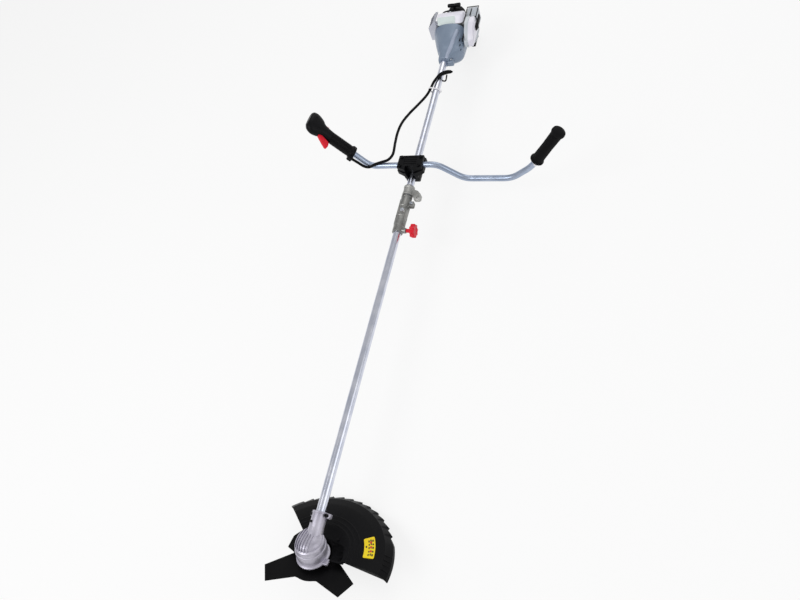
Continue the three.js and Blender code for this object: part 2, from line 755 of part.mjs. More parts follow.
// ---- carburettor, its levers and the air filter ------------------------------------------------
const armX = 62;
const armY = 1761;
const primerX = 52;
const primerY = 1748;
const carbBody = cut(
  join(box(42, 66, 1738, 1764, 27, 48), rod("z", 9.5, 24, 28, primerX, primerY, 16)),
  rod("x", 6, 38, 70, intakeY, intakeZ, SMALL),
  rod("z", 2.4, 20, 36, armX, armY, SMALL),
  rod("z", 7.4, 20, 27.5, primerX, primerY, 16),
);
put("carburettor", carbBody, "cast");
put(
  "primer_bulb",
  turnZ(stack([[3, 17], [6, 19], [7, 23.6]]), 16).translate([primerX, primerY, 0]),
  "red",
);
put(
  "throttle_arm",
  join(rod("z", 2, 22, 34, armX, armY, SMALL), box(59, 65, 1759.5, 1778, 19, 23.5)),
  "steel",
);
const filterCase = cut(
  box(67, 80, 1670, 1756, 2, 64),
  box(72, 95, 1674, 1752, 6, 60),
  rod("x", 5, 60, 90, intakeY - 5, intakeZ, SMALL),
  rod("x", 2.4, 60, 90, 1690, 40, SMALL),
);
put("air_filter_case", filterCase, "white");
const coverSections = [
  { y: 80 + GAP, w: 43, h: 31 },
  { y: 92, w: 42, h: 30 },
  { y: 97, w: 38, h: 26 },
  { y: 99, w: 32, h: 20 },
];
const coverRoom = grow(coverSections.slice(0, 3), -2.6);
coverRoom[0].y = 75;
coverRoom[2].y = 95;
// Lofted along Y, then laid so that the stack runs along X.
const filterY = 1713;
const filterZ = 33;
const latchY = 1734;
const layOver = (body) => moved(body, { rz: -90 }).translate([0, filterY, filterZ]);
put(
  "air_filter_cover",
  cut(
    layOver(cut(loft(coverSections, 4, 20), loft(coverRoom, 4, 20))),
    rod("x", 3.2, 90, 120, latchY, filterZ, SMALL),
  ),
  "white",
);
put(
  "filter_latch",
  join(
    rod("x", 2.9, 90, 101, latchY, filterZ, SMALL),
    box(99 + GAP, 106, latchY - 10, latchY + 56, filterZ - 9, filterZ + 9),
  ),
  "black",
);
put(
  "choke_lever",
  join(rod("x", 2, 64, 73, 1690, 40, SMALL), box(63.5, 66.7, 1664, 1694, 36, 44)),
  "black",
);

// ---- ignition ------------------------------------------------------------------------------------
put("ignition_coil", box(-24, 16, 1735, 1739.7, 36, 49), "black");
const leadRoute = new THREE.CatmullRomCurve3([
  vec(0, 1805, plugZ),
  vec(-12, 1809, plugZ - 2),
  vec(-30, 1808, 48),
  vec(-42, 1801, 36),
  vec(-44, 1796, 24),
]);
const plugCap = cut(
  join(rod("y", 6, 1793.5, 1809, 0, plugZ, SMALL), rodAlong(leadRoute, 2.4, 12, 8)),
  rod("y", 4, 1785, 1803.5, 0, plugZ, SMALL),
);
put("plug_cap", plugCap, "rubber");

// ---- recoil starter --------------------------------------------------------------------------------
const ropeX = 8;
const ropeY = 1825;
const recoilBody = cut(
  join(
    turnY(stack([[43, crankcaseRear + GAP], [43, 1818], [40, 1832], [33, recoilRear]]), 0, 0, 24),
    box(-18, 38, 1813, 1836, 12, 42),
    box(-12, 30, 1813, 1836, 40, 48),
  ),
  turnY(stack([[40, crankcaseRear - 5], [40, 1818], [37, 1830], [29, recoilRear - 3]]), 0, 0, 24),
  rod("z", 3, 25, 60, ropeX, ropeY, SMALL),
);
put("recoil_housing", recoilBody, "black");
put("starter_rope", rod("z", 2, 30, 49, ropeX, ropeY, 8), "rubber");
put(
  "starter_handle",
  join(rod("x", 6.5, ropeX - 22, ropeX + 24, ropeY, 60, 14), rod("z", 5, 49 + GAP, 58, ropeX, ropeY, 14)),
  "black",
);

// ---- fuel tank and stand -----------------------------------------------------------------------------
const tankTop = -59;
const tankRear = 1886;
const fillerX = -20;
const fillerZ = -81;
const tankBody = cut(
  join(
    box(-58, 60, 1810, tankRear, -104, tankTop),
    box(45, 60, 1810, 1850, tankTop - 2, -20),
    box(45, 88, 1794, 1850, -26, 28),
    rod("y", 9, tankRear - 1, tankRear + 5, fillerX, fillerZ, 16),
  ),
  box(-55, 57, 1813, tankRear - 3, -101, tankTop - 3),
  box(48, 57, 1813, 1847, tankTop - 9, -20),
  box(48, 85, 1797, 1847, -23, 25),
  rod("y", 7, tankRear - 10, tankRear + 10, fillerX, fillerZ, 16),
);
put("fuel_tank", tankBody, "tank");
put(
  "fuel_cap",
  join(
    rod("y", 12, tankRear + 5 + GAP, tankRear + 14, fillerX, fillerZ, 16),
    rod("y", 6, tankRear - 1, tankRear + 6, fillerX, fillerZ, 16),
  ),
  "black",
);

const rimFloor = -(guardRimR * Math.sin(rad(headTilt)) + guardRimDrop * Math.cos(rad(headTilt)));
const standTop = -104 - GAP;
const standBody = join(
  box(-56, 38, 1856, 1870, standTop - 8, standTop),
  box(-56, 38, 1888, 1902, standTop - 8, standTop),
  box(-56, -42, 1852, 1906, rimFloor, standTop - 7),
  box(24, 38, 1852, 1906, rimFloor, standTop - 7),
);
put("engine_stand", standBody, "black");

// ---- origin: middle of the footprint, on the floor -----------------------------------------------------
const group = new THREE.Group();
group.add(machine);
group.updateMatrixWorld(true);
const bounds = new THREE.Box3();
machine.traverse((item) => {
  if (item.isMesh) {
    bounds.union(new THREE.Box3().setFromObject(item, true));
  }
});
const centre = bounds.getCenter(new THREE.Vector3());
machine.position.set(-centre.x, -centre.y, -bounds.min.z);
group.updateMatrixWorld(true);

export default group;
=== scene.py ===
import json
import math
import bmesh
import bpy
from mathutils import Matrix, Vector

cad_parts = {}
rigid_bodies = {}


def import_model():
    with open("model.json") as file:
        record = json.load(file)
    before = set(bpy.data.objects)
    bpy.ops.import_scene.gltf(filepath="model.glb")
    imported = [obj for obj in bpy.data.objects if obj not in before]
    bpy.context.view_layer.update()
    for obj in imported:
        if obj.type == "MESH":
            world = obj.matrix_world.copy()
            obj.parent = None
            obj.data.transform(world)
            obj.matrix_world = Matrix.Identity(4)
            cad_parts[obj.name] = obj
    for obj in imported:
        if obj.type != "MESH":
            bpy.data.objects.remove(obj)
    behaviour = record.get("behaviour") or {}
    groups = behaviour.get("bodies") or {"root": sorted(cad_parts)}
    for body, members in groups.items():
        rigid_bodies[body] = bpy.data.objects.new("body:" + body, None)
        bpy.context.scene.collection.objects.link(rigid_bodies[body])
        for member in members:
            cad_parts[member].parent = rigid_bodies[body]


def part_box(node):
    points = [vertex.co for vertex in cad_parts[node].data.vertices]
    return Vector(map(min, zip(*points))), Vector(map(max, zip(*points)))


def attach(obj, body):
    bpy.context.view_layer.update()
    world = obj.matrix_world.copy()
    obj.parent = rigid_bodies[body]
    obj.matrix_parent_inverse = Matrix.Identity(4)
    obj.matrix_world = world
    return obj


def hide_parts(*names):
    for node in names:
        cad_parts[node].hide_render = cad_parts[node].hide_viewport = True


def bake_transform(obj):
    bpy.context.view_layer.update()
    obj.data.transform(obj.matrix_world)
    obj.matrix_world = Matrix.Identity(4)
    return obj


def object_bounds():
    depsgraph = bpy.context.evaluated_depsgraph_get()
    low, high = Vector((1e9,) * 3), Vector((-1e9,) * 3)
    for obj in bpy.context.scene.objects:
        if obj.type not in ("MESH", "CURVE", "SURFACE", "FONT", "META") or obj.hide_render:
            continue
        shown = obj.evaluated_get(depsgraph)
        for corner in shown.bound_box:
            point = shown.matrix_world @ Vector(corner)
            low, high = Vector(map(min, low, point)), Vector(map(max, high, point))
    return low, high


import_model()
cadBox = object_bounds()
print("frame loaded")

# All shapes below are in mm, in the shaft's own frame: Y runs up the shaft from the
# crossing of the two gear axes, X is the operator's left, Z is up.
mm = 0.001
tubeLow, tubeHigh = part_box("lower_tube")
lowerTubeStart = 60
shaftOrigin = Vector((
    (tubeLow.x + tubeHigh.x) / 2,
    tubeLow.y - lowerTubeStart * mm,
    (tubeLow.z + tubeHigh.z) / 2,
))
machineFrame = Matrix.Translation(shaftOrigin) @ Matrix.Scale(mm, 4)
headTilt = 32  # degrees between the shaft and the blade's plane
headFrame = machineFrame @ Matrix.Rotation(-math.radians(headTilt), 4, "X")

barLean = math.radians(85)
barY = 1136.5
barZ = 30
leftLeg = {"from": (372, -20), "turn": 34.6, "length": 152}
rightLeg = {"from": (-140, 0), "turn": -36, "length": 172}


def onBar(x, s):
    return Vector((x, barY + s * math.cos(barLean), barZ + s * math.sin(barLean)))


def alongLeg(leg, t):
    turn = math.radians(leg["turn"])
    return leg["from"][0] + t * math.sin(turn), leg["from"][1] + t * math.cos(turn)


def legFrame(leg):
    origin = onBar(*leg["from"])
    up = (onBar(*alongLeg(leg, 1)) - origin).normalized()
    front = Vector((0, -math.sin(barLean), math.cos(barLean)))
    side = up.cross(front)
    turn = Matrix((side, up, front)).transposed().to_4x4()
    return machineFrame @ Matrix.Translation(origin) @ turn


leftFrame = legFrame(leftLeg)
rightFrame = legFrame(rightLeg)


# shaping
def block(x0, x1, y0, y1, z0, z1):
    bm = bmesh.new()
    bmesh.ops.create_cube(bm, size=1)
    bmesh.ops.scale(bm, vec=(x1 - x0, y1 - y0, z1 - z0), verts=bm.verts)
    middle = ((x0 + x1) / 2, (y0 + y1) / 2, (z0 + z1) / 2)
    bmesh.ops.translate(bm, vec=middle, verts=bm.verts)
    return bm


def rounded(bm, width, segments=3, edges=None):
    bmesh.ops.bevel(
        bm, geom=edges or bm.edges[:], offset=width, offset_type="OFFSET", affect="EDGES",
        segments=segments, profile=0.5, material=-1, clamp_overlap=True,
    )
    return bm


def softBlock(x0, x1, y0, y1, z0, z1, width, segments=3):
    return rounded(block(x0, x1, y0, y1, z0, z1), width, segments)


def turned(profile, along="Z", centre=(0, 0), steps=64, sweep=math.tau, start=0):
    # profile is (radius, height) pairs; it closes on the axis or on its own first point
    bm = bmesh.new()
    verts = [bm.verts.new((r * math.cos(start), r * math.sin(start), h)) for r, h in profile]
    edges = [bm.edges.new(pair) for pair in zip(verts, verts[1:])]
    whole = abs(sweep - math.tau) < 1e-6
    bmesh.ops.spin(
        bm, geom=verts + edges, cent=(0, 0, 0), axis=(0, 0, 1), angle=sweep, steps=steps,
        use_merge=whole, use_duplicate=False,
    )
    bmesh.ops.remove_doubles(bm, verts=bm.verts, dist=1e-4)
    if not whole:
        rims = [e for e in bm.edges if e.is_boundary]
        bmesh.ops.holes_fill(bm, edges=rims, sides=0)
    bmesh.ops.recalc_face_normals(bm, faces=bm.faces)
    a, b = centre
    if along == "Y":
        bmesh.ops.rotate(bm, verts=bm.verts, matrix=Matrix.Rotation(-math.pi / 2, 3, "X"))
        bmesh.ops.translate(bm, vec=(a, 0, b), verts=bm.verts)
    elif along == "X":
        bmesh.ops.rotate(bm, verts=bm.verts, matrix=Matrix.Rotation(math.pi / 2, 3, "Y"))
        bmesh.ops.translate(bm, vec=(0, a, b), verts=bm.verts)
    else:
        bmesh.ops.translate(bm, vec=(a, b, 0), verts=bm.verts)
    return bm


def rod(r, low, high, along="Z", centre=(0, 0), chamfer=0.0, steps=32):
    profile = [(0, low), (r - chamfer, low), (r, low + chamfer), (r, high - chamfer),
               (r - chamfer, high), (0, high)]
    return turned(profile, along, centre, steps)


def ring(r0, r1, low, high, chamfer=0.0):
    return [(r0, low), (r1 - chamfer, low), (r1, low + chamfer), (r1, high - chamfer),
            (r1 - chamfer, high), (r0, high), (r0, low)]


def slab(outline, low, high, axis="Z"):
    # flat plate; the outline is x, y for axis Z, x, z for axis Y and y, z for axis X
    spread = {"Z": lambda a, b: (a, b, low), "Y": lambda a, b: (a, low, b),
              "X": lambda a, b: (low, a, b)}[axis]
    push = {"Z": (0, 0, high - low), "Y": (0, high - low, 0), "X": (high - low, 0, 0)}[axis]
    bm = bmesh.new()
    face = bm.faces.new([bm.verts.new(spread(a, b)) for a, b in outline])
    made = bmesh.ops.extrude_face_region(bm, geom=[face], use_keep_orig=True)
    pushed = [g for g in made["geom"] if isinstance(g, bmesh.types.BMVert)]
    bmesh.ops.translate(bm, vec=push, verts=pushed)
    bmesh.ops.recalc_face_normals(bm, faces=bm.faces)
    return bm


def lofted(sections, power=2.5, sides=64, along="Y"):
    # skin through rounded-box sections (position, x, z, half width, half height)
    bm = bmesh.new()
    loops = []
    for y, x, z, w, h in sections:
        made = bmesh.ops.create_circle(bm, cap_ends=False, radius=1, segments=sides)
        for vert in made["verts"]:
            c, s = vert.co.x, vert.co.y
            cx = math.copysign(abs(c) ** (2 / power), c)
            cz = math.copysign(abs(s) ** (2 / power), s)
            vert.co = (x + w * cx, y, z + h * cz)
        loops.append(made["verts"])
    for first, second in zip(loops, loops[1:]):
        edges = {e for vert in first for e in vert.link_edges if e.other_vert(vert) in first}
        edges |= {e for vert in second for e in vert.link_edges if e.other_vert(vert) in second}
        bmesh.ops.bridge_loops(bm, edges=list(edges))
    rims = [e for e in bm.edges if e.is_boundary]
    bmesh.ops.holes_fill(bm, edges=rims, sides=0)
    bmesh.ops.recalc_face_normals(bm, faces=bm.faces)
    if along == "Z":
        # (x, y, z) to (x, z, y), so the stack runs up
        for vert in bm.verts:
            vert.co = (vert.co.x, vert.co.z, vert.co.y)
        bmesh.ops.recalc_face_normals(bm, faces=bm.faces)
    return bm


def between(sections, count):
    # smooth in-between sections along a Catmull-Rom line through the given ones
    rows = [Vector(s[:3]).to_tuple() + tuple(s[3:]) for s in sections]
    out = []
    for i in range(len(rows) - 1):
        before = rows[max(i - 1, 0)]
        after = rows[min(i + 2, len(rows) - 1)]
        for k in range(count):
            t = k / count
            row = []
            for p0, p1, p2, p3 in zip(before, rows[i], rows[i + 1], after):
                row.append(0.5 * (2 * p1 + (p2 - p0) * t + (2 * p0 - 5 * p1 + 4 * p2 - p3) * t * t
                                  + (3 * p1 - p0 - 3 * p2 + p3) * t ** 3))
            out.append(tuple(row))
    out.append(rows[-1])
    return out


def smoothLine(points, count=8):
    return [Vector(row) for row in between(points, count)]


def swept(points, radius, sides=20, radii=None):
    # round tube along a line of points, from circles set across it
    bm = bmesh.new()
    normal = None
    loops = []
    for i, point in enumerate(points):
        ahead = points[min(i + 1, len(points) - 1)] - points[max(i - 1, 0)]
        ahead.normalize()
        if normal is None:
            normal = ahead.orthogonal().normalized()
        normal = (normal - ahead * normal.dot(ahead)).normalized()
        side = ahead.cross(normal)
        turn = Matrix((normal, side, ahead)).transposed()
        r = radii[i] if radii else radius
        made = bmesh.ops.create_circle(bm, cap_ends=False, radius=r, segments=sides)
        bmesh.ops.rotate(bm, verts=made["verts"], matrix=turn)
        bmesh.ops.translate(bm, verts=made["verts"], vec=point)
        loops.append(made["verts"])
    for first, second in zip(loops, loops[1:]):
        for k in range(sides):
            j = (k + 1) % sides
            bm.faces.new((first[k], first[j], second[j], second[k]))
    rims = [e for e in bm.edges if e.is_boundary]
    bmesh.ops.holes_fill(bm, edges=rims, sides=0)
    bmesh.ops.recalc_face_normals(bm, faces=bm.faces)
    return bm


def together(*parts):
    whole = bmesh.new()
    for part in parts:
        mesh = bpy.data.meshes.new("part")
        part.to_mesh(mesh)
        part.free()
        whole.from_mesh(mesh)
        bpy.data.meshes.remove(mesh)
    return whole


def carved(body, *tools, operation="DIFFERENCE", crossing=False):
    # crossing says that the body is made of parts that run through each other
    made = []
    for bm in (body, *tools):
        mesh = bpy.data.meshes.new("carving")
        bm.to_mesh(mesh)
        bm.free()
        obj = bpy.data.objects.new("carving", mesh)
        bpy.context.scene.collection.objects.link(obj)
        made.append(obj)
    target = made[0]
    for tool in made[1:]:
        step = target.modifiers.new("cut", "BOOLEAN")
        step.operation = operation
        step.solver = "EXACT"
        step.use_self = crossing
        step.object = tool
    bpy.context.view_layer.update()
    shaped = target.evaluated_get(bpy.context.evaluated_depsgraph_get())
    result = bmesh.new()
    result.from_mesh(shaped.to_mesh())
    shaped.to_mesh_clear()
    for obj in made:
        mesh = obj.data
        bpy.data.objects.remove(obj)
        bpy.data.meshes.remove(mesh)
    bmesh.ops.remove_doubles(result, verts=result.verts, dist=1e-4)
    return result


def turnedBy(bm, degrees, axis):
    turn = Matrix.Rotation(math.radians(degrees), 3, axis)
    bmesh.ops.rotate(bm, verts=bm.verts, matrix=turn)
    return bm


def moved(bm, by):
    bmesh.ops.translate(bm, vec=by, verts=bm.verts)
    return bm


def rise(edge, axis):
    # how far an edge runs along an axis
    along = "XYZ".index(axis)
    return abs(edge.verts[0].co[along] - edge.verts[1].co[along])


def levelEdges(bm, axis):
    # the edges round a slab's two faces
    return [e for e in bm.edges if rise(e, axis) < 0.01]


def cornerEdges(bm, axis, longest=1):
    # the edges that run through a slab, from face to face
    return [e for e in bm.edges if rise(e, axis) > longest]


def socketHead(place, low, high, keyLow, radius=5, keyRadius=2.4):
    # round screw head with a six-sided socket
    key = rod(keyRadius, keyLow, high + 2, "Z", place, steps=6)
    return carved(rod(radius, low, high, "Z", place, 0.6), key)


def finishPiece(name, bm, material, body, nodes=(), place=None, bevel=0.0, angle=35,
                drawnOutBy=None):
    # drawnOutBy is (body, start, end) for a piece another body would pull longer; such a piece is only
    # baked in place, without a body, and the body and the two ends are not used
    bmesh.ops.transform(bm, matrix=place or machineFrame, verts=bm.verts)
    mesh = bpy.data.meshes.new(name)
    bm.to_mesh(mesh)
    bm.free()
    mesh.polygons.foreach_set("use_smooth", [True] * len(mesh.polygons))
    mesh.set_sharp_from_angle(angle=math.radians(angle))
    mesh.materials.append(material)
    piece = bpy.data.objects.new(name, mesh)
    bpy.context.scene.collection.objects.link(piece)
    if bevel:
        edge = piece.modifiers.new("worn edge", "BEVEL")
        edge.width = bevel * mm
        edge.segments = 2
        edge.limit_method = "ANGLE"
        edge.angle_limit = math.radians(30)
        edge.harden_normals = True
    if drawnOutBy:
        puller, start, end = drawnOutBy
        start, end = machineFrame @ Vector(start), machineFrame @ Vector(end)
        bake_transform(piece)
    else:
        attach(piece, body)
    if nodes:
        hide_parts(*nodes)
    return piece


# materials
def linear(hexColour):
    values = [int(hexColour[i:i + 2], 16) / 255 for i in (1, 3, 5)]
    return [v / 12.92 if v <= 0.04045 else ((v + 0.055) / 1.055) ** 2.4 for v in values] + [1]


def addNode(tree, kind, settings=None, links=None):
    node = tree.nodes.new(kind)
    for key, value in (settings or {}).items():
        if isinstance(key, str) and hasattr(node, key):
            setattr(node, key, value)
        else:
            node.inputs[key].default_value = value
    for key, source in (links or {}).items():
        tree.links.new(source, node.inputs[key])
    return node


def surface(name, base, dark, sockets, grain, depth, stretch=(1, 1, 1), spread=(0.35, 0.65),
            rough=(0.3, 0.5), broad=40):
    # base and dark are the two tones the fine pattern runs between; grain, depth and the
    # broad cloudiness are in mm
    material = bpy.data.materials.new(name)
    material.use_nodes = True
    tree = material.node_tree
    shader = tree.nodes["Principled BSDF"]
    for key, value in sockets.items():
        shader.inputs[key].default_value = value
    where = addNode(tree, "ShaderNodeTexCoord")
    laid = addNode(tree, "ShaderNodeMapping", {"Scale": stretch}, {"Vector": where.outputs["Object"]})
    fine = addNode(tree, "ShaderNodeTexNoise",
                   {"Scale": 1 / (grain * mm), "Detail": 4, "Roughness": 0.6},
                   {"Vector": laid.outputs["Vector"]})
    broader = addNode(tree, "ShaderNodeTexNoise", {"Scale": 1 / (broad * mm), "Detail": 2},
                      {"Vector": where.outputs["Object"]})
    mixed = addNode(tree, "ShaderNodeMath", {"operation": "MULTIPLY_ADD", 1: 0.45},
                    {0: fine.outputs["Fac"]})
    scaled = addNode(tree, "ShaderNodeMath", {"operation": "MULTIPLY", 1: 0.55},
                     {0: broader.outputs["Fac"]})
    tree.links.new(scaled.outputs["Value"], mixed.inputs[2])
    tone = addNode(tree, "ShaderNodeValToRGB", None, {"Fac": mixed.outputs["Value"]})
    tone.color_ramp.elements[0].position, tone.color_ramp.elements[1].position = spread
    tone.color_ramp.elements[0].color = linear(dark)
    tone.color_ramp.elements[1].color = linear(base)
    tree.links.new(tone.outputs["Color"], shader.inputs["Base Color"])
    gloss = addNode(tree, "ShaderNodeMapRange", {"To Min": rough[0], "To Max": rough[1]},
                    {"Value": mixed.outputs["Value"]})
    tree.links.new(gloss.outputs["Result"], shader.inputs["Roughness"])
    bump = addNode(tree, "ShaderNodeBump", {"Strength": 1.0, "Distance": depth * mm},
                   {"Height": fine.outputs["Fac"]})
    tree.links.new(bump.outputs["Normal"], shader.inputs["Normal"])
    return material


# drawn aluminium tube, clear anodised: fine draw lines along the tube, bright and satin
drawnTube = surface("drawnAnodisedAluminium", "#e4e6f0", "#c3c8d8",
                    {"Metallic": 1.0}, 1.2, 0.012, stretch=(1, 0.02, 1), rough=(0.2, 0.3))
# bent aluminium handlebar tube, anodised: slightly bluer than the shaft
bentTube = surface("anodisedHandlebarTube", "#b4bfd2", "#98a5bb",
                   {"Metallic": 1.0}, 1.5, 0.012, rough=(0.3, 0.42))
# die-cast aluminium, tumbled: soft grey with a fine sandy skin
castHead = surface("tumbledDieCastAluminium", "#d0cdd9", "#a5a2b0",
                   {"Metallic": 0.65}, 1.6, 0.12, rough=(0.34, 0.5))
# die-cast aluminium as it leaves the mould: darker, more worn
castGrey = surface("asCastAluminium", "#a9a9a6", "#6f6f6d",
                   {"Metallic": 0.85}, 1.8, 0.15, rough=(0.3, 0.5))
# the same alloy, blasted: a lighter even grey for the harness collar
castCollar = surface("blastedCastAluminium", "#c3c3c0", "#8f8f8c",
                     {"Metallic": 0.7}, 1.6, 0.14, rough=(0.36, 0.5))
# ground and zinc plated steel: bright and cool
zincSteel = surface("zincPlatedSteel", "#c4c8cf", "#a2a7ae",
                    {"Metallic": 1.0}, 0.8, 0.02, rough=(0.2, 0.34))
# glass-filled nylon, moulded: black with a fine spark-eroded grain
blackNylon = surface("mouldedBlackNylon", "#0e0e11", "#060608",
                     {"Metallic": 0.0, "Specular IOR Level": 0.14}, 1.1, 0.05, rough=(0.34, 0.5))
# the guard's nylon is glossier where it was polished in the mould
guardNylon = surface("polishedBlackNylon", "#0b0b0e", "#050506",
                     {"Metallic": 0.0, "Specular IOR Level": 0.12}, 2.2, 0.06, rough=(0.36, 0.52),
                     broad=90)
# soft black rubber: dull, with dusty high spots
softRubber = surface("mouldedSoftRubber", "#0f0f12", "#070708",
                     {"Metallic": 0.0, "Specular IOR Level": 0.12}, 0.9, 0.06, rough=(0.5, 0.68))
# red ABS, moulded: clear even colour and a soft gloss
redAbs = surface("mouldedRedAbs", "#e81f33", "#cf172a",
                 {"Metallic": 0.0, "Specular IOR Level": 0.25}, 1.0, 0.02,
                 rough=(0.3, 0.42))
# white ABS, moulded: faintly lilac in its shade
whiteAbs = surface("mouldedWhiteAbs", "#f1eff8", "#e4e2ef",
                   {"Metallic": 0.0, "Coat Weight": 0.3, "Coat Roughness": 0.15}, 1.2, 0.02,
                   rough=(0.26, 0.38))
# the filter's base is the same plastic in a greyer batch
filterGrey = surface("mouldedPaleGreyAbs", "#d9dee3", "#c6ccd3",
                     {"Metallic": 0.0, "Coat Weight": 0.2, "Coat Roughness": 0.2}, 1.2, 0.02,
                     rough=(0.3, 0.42))
# polyester powder coat on cast metal: even blue-grey with orange peel
powderCoat = surface("blueGreyPowderCoat", "#8392a6", "#76869b",
                     {"Metallic": 0.15, "Coat Weight": 0.25, "Coat Roughness": 0.25}, 2.4, 0.03,
                     rough=(0.32, 0.44))
# the same powder coat on the raised ridge, made paler: a painted highlight along the ridge
ridgeHighlightCoat = surface("ridgeHighlightPowderCoat", "#a8b2c6", "#97a3b8",
                    {"Metallic": 0.15, "Coat Weight": 0.25, "Coat Roughness": 0.25}, 2.4, 0.03,
                    rough=(0.32, 0.44))
# baked black enamel on spring steel
bladeEnamel = surface("bakedBlackEnamel", "#0b0b0c", "#050506",
                      {"Metallic": 0.0, "Specular IOR Level": 0.12}, 1.6, 0.03, rough=(0.34, 0.5))
# blown polyethylene tank: milky and a little see-through
milkyTank = surface("blownMilkyPolyethylene", "#dfe4ea", "#cbd2db",
                    {"Metallic": 0.0, "Transmission Weight": 0.25, "IOR": 1.5}, 2.0, 0.05,
                    rough=(0.3, 0.45))
# pressed aluminised sheet steel
pressedSheet = surface("pressedAluminisedSheet", "#cfd1da", "#aeb1bd",
                       {"Metallic": 0.9}, 1.4, 0.05, rough=(0.28, 0.42))
# the same sheet, darker: painted shade for the louvre openings
louvreShadeSheet = surface("paintedShadeSheet", "#7c7e8a", "#5b5d68",
                    {"Metallic": 0.7}, 1.4, 0.05, rough=(0.4, 0.55))
# printed vinyl sticker, yellow, and its dark and red marks
yellowVinyl = surface("printedYellowVinyl", "#f8dc08", "#f0d000",
                      {"Metallic": 0.0}, 0.8, 0.01, rough=(0.36, 0.46))
darkInk = surface("darkPrintInk", "#2a2320", "#1c1614",
                  {"Metallic": 0.0}, 0.8, 0.01, rough=(0.4, 0.5))
redInk = surface("redPrintInk", "#d8382c", "#c02f26",
                 {"Metallic": 0.0}, 0.8, 0.01, rough=(0.4, 0.5))
# pale printed label on the cowl
paleVinyl = surface("printedPaleVinyl", "#d9e4e2", "#cddad8",
                    {"Metallic": 0.0}, 0.8, 0.01, rough=(0.3, 0.4))
# undyed nylon, moulded: white and a little waxy
whiteNylon = surface("naturalNylonTie", "#f4f3f6", "#e6e4ea",
                     {"Metallic": 0.0}, 0.8, 0.02, rough=(0.4, 0.5))
print("materials made")

# shaft tubes
tubes = {"radius": 12, "wall": 1.5, "split": 985, "upperEnd": 1634, "clearance": 0.3}
tubeFit = tubes["radius"] + tubes["clearance"]  # the bore of whatever sits on a tube
tubeBore = tubes["radius"] - tubes["wall"]
for name, low, high, body in (
    ("lower_tube", lowerTubeStart, tubes["split"] - 1, "lower_unit"),
    ("upper_tube", tubes["split"], tubes["upperEnd"], "engine_unit"),
):
    wall = turned(ring(tubeBore, tubes["radius"], low, high, 0.4), "Y", steps=96)
    finishPiece(name + "_drawn", wall, drawnTube, body, [name])
print("tubes made")

# gear head, in its own frame: Z up the blade's axis
head = {
    "drum": (-2, 0), "dome": (-4, 4), "finPitch": 7.6, "finThick": 2.6, "finProud": 2.2,
    "neckEnd": 82, "clampBolt": (23, 75), "lockBolt": (-18.6, 73), "greasePlug": (-10, 55),
    "lugX": 14, "slitHalf": 0.9,
}
drumProfile = [
    (0, -34), (37.5, -34), (39.5, -33.2), (42, -31.4), (42, -28.6), (40.4, -27.4), (38.4, -26.6),
    (37.4, -25), (37.2, -16), (38.2, -14.8), (39.4, -13), (39.4, -1), (38.6, 1), (36.6, 2),
    (36.4, 7), (35, 12), (0, 12),
]
domeProfile = [
    (0, 4), (34, 4), (34.5, 8), (34, 14), (31.5, 20), (26, 25), (17, 28.6), (8, 30), (0, 30.3),
]


finProfile = [(r + head["finProud"] if r else 0, h + (head["finProud"] if h > 8 else 0))
              for r, h in domeProfile]
drum = turned(drumProfile, "Z", head["drum"], 96)
dome = turned(domeProfile, "Z", head["dome"], 96)
finParts = []
for i in range(-4, 2):
    x = head["dome"][0] + (i + 0.5) * head["finPitch"]
    finSlice = block(x - head["finThick"] / 2, x + head["finThick"] / 2, -60, 60, 9, 60)
    finParts.append(carved(turned(finProfile, "Z", head["dome"], 72), finSlice, operation="INTERSECT"))
# the shoulder that carries the neck
shoulderProfile = [(0, 8), (20.6, 8), (22.4, 14), (21.6, 26), (20, 36), (19.2, 44), (0, 44)]
shoulder = turned(shoulderProfile, "Y", steps=72)
neckEnd = head["neckEnd"]
neckProfile = [(0, 40), (19, 40), (19, 76), (20, 77), (20, neckEnd - 1), (19.2, neckEnd), (0, neckEnd)]
neck = turned(neckProfile, "Y", steps=72)
lug = softBlock(head["lugX"], 31, 69, 81, -9, 9, 3)
lugLeft = softBlock(-23, -14, 68, 78, -5, 6, 2.4)
tab = softBlock(33, 47, -20, -4, -33, -26, 2)
# the step that runs round the right of the dome, where two halves of the casting meet
crescent = turned([(31, 7), (36.6, 7), (37.4, 9), (36.6, 13), (33, 16), (30, 16), (31, 7)], "Z",
                  steps=64, sweep=math.radians(200), start=math.radians(-150))
moved(crescent, (head["dome"][0] + 1, head["dome"][1] - 2, 0))
neckWhole = carved(
    together(neck, lug, lugLeft),
    rod(tubeFit, 56, 90, "Y"),
    block(15, 40, 60, 90, -head["slitHalf"], head["slitHalf"]),
    rod(2.8, -20, 20, "Z", head["clampBolt"]),
    rod(2.6, -20, 20, "Z", head["lockBolt"]),
    rod(3, 14, 40, "Z", head["greasePlug"]),
    crossing=True,
)
turnedBy(neckWhole, headTilt, "X")
turnedBy(shoulder, headTilt, "X")
caseBody = together(drum, dome, *finParts, crescent, shoulder, neckWhole, tab)
finishPiece("gear_case_cast", caseBody, castHead, "lower_unit", ["gear_case"],
            place=headFrame, bevel=0.5)
bolt = together(
    socketHead(head["clampBolt"], 9.3, 14.6, 11.5),
    rod(2.5, -14, 10, "Z", head["clampBolt"]),
    rod(4.2, 5, 9, "Z", head["lockBolt"], 0.6, 6),
    rod(3, 14, 19.6, "Z", head["greasePlug"], 0.5),
)
finishPiece("gear_case_screw", bolt, blackNylon, "lower_unit", ["gear_case_bolt"])
print("gear head made")

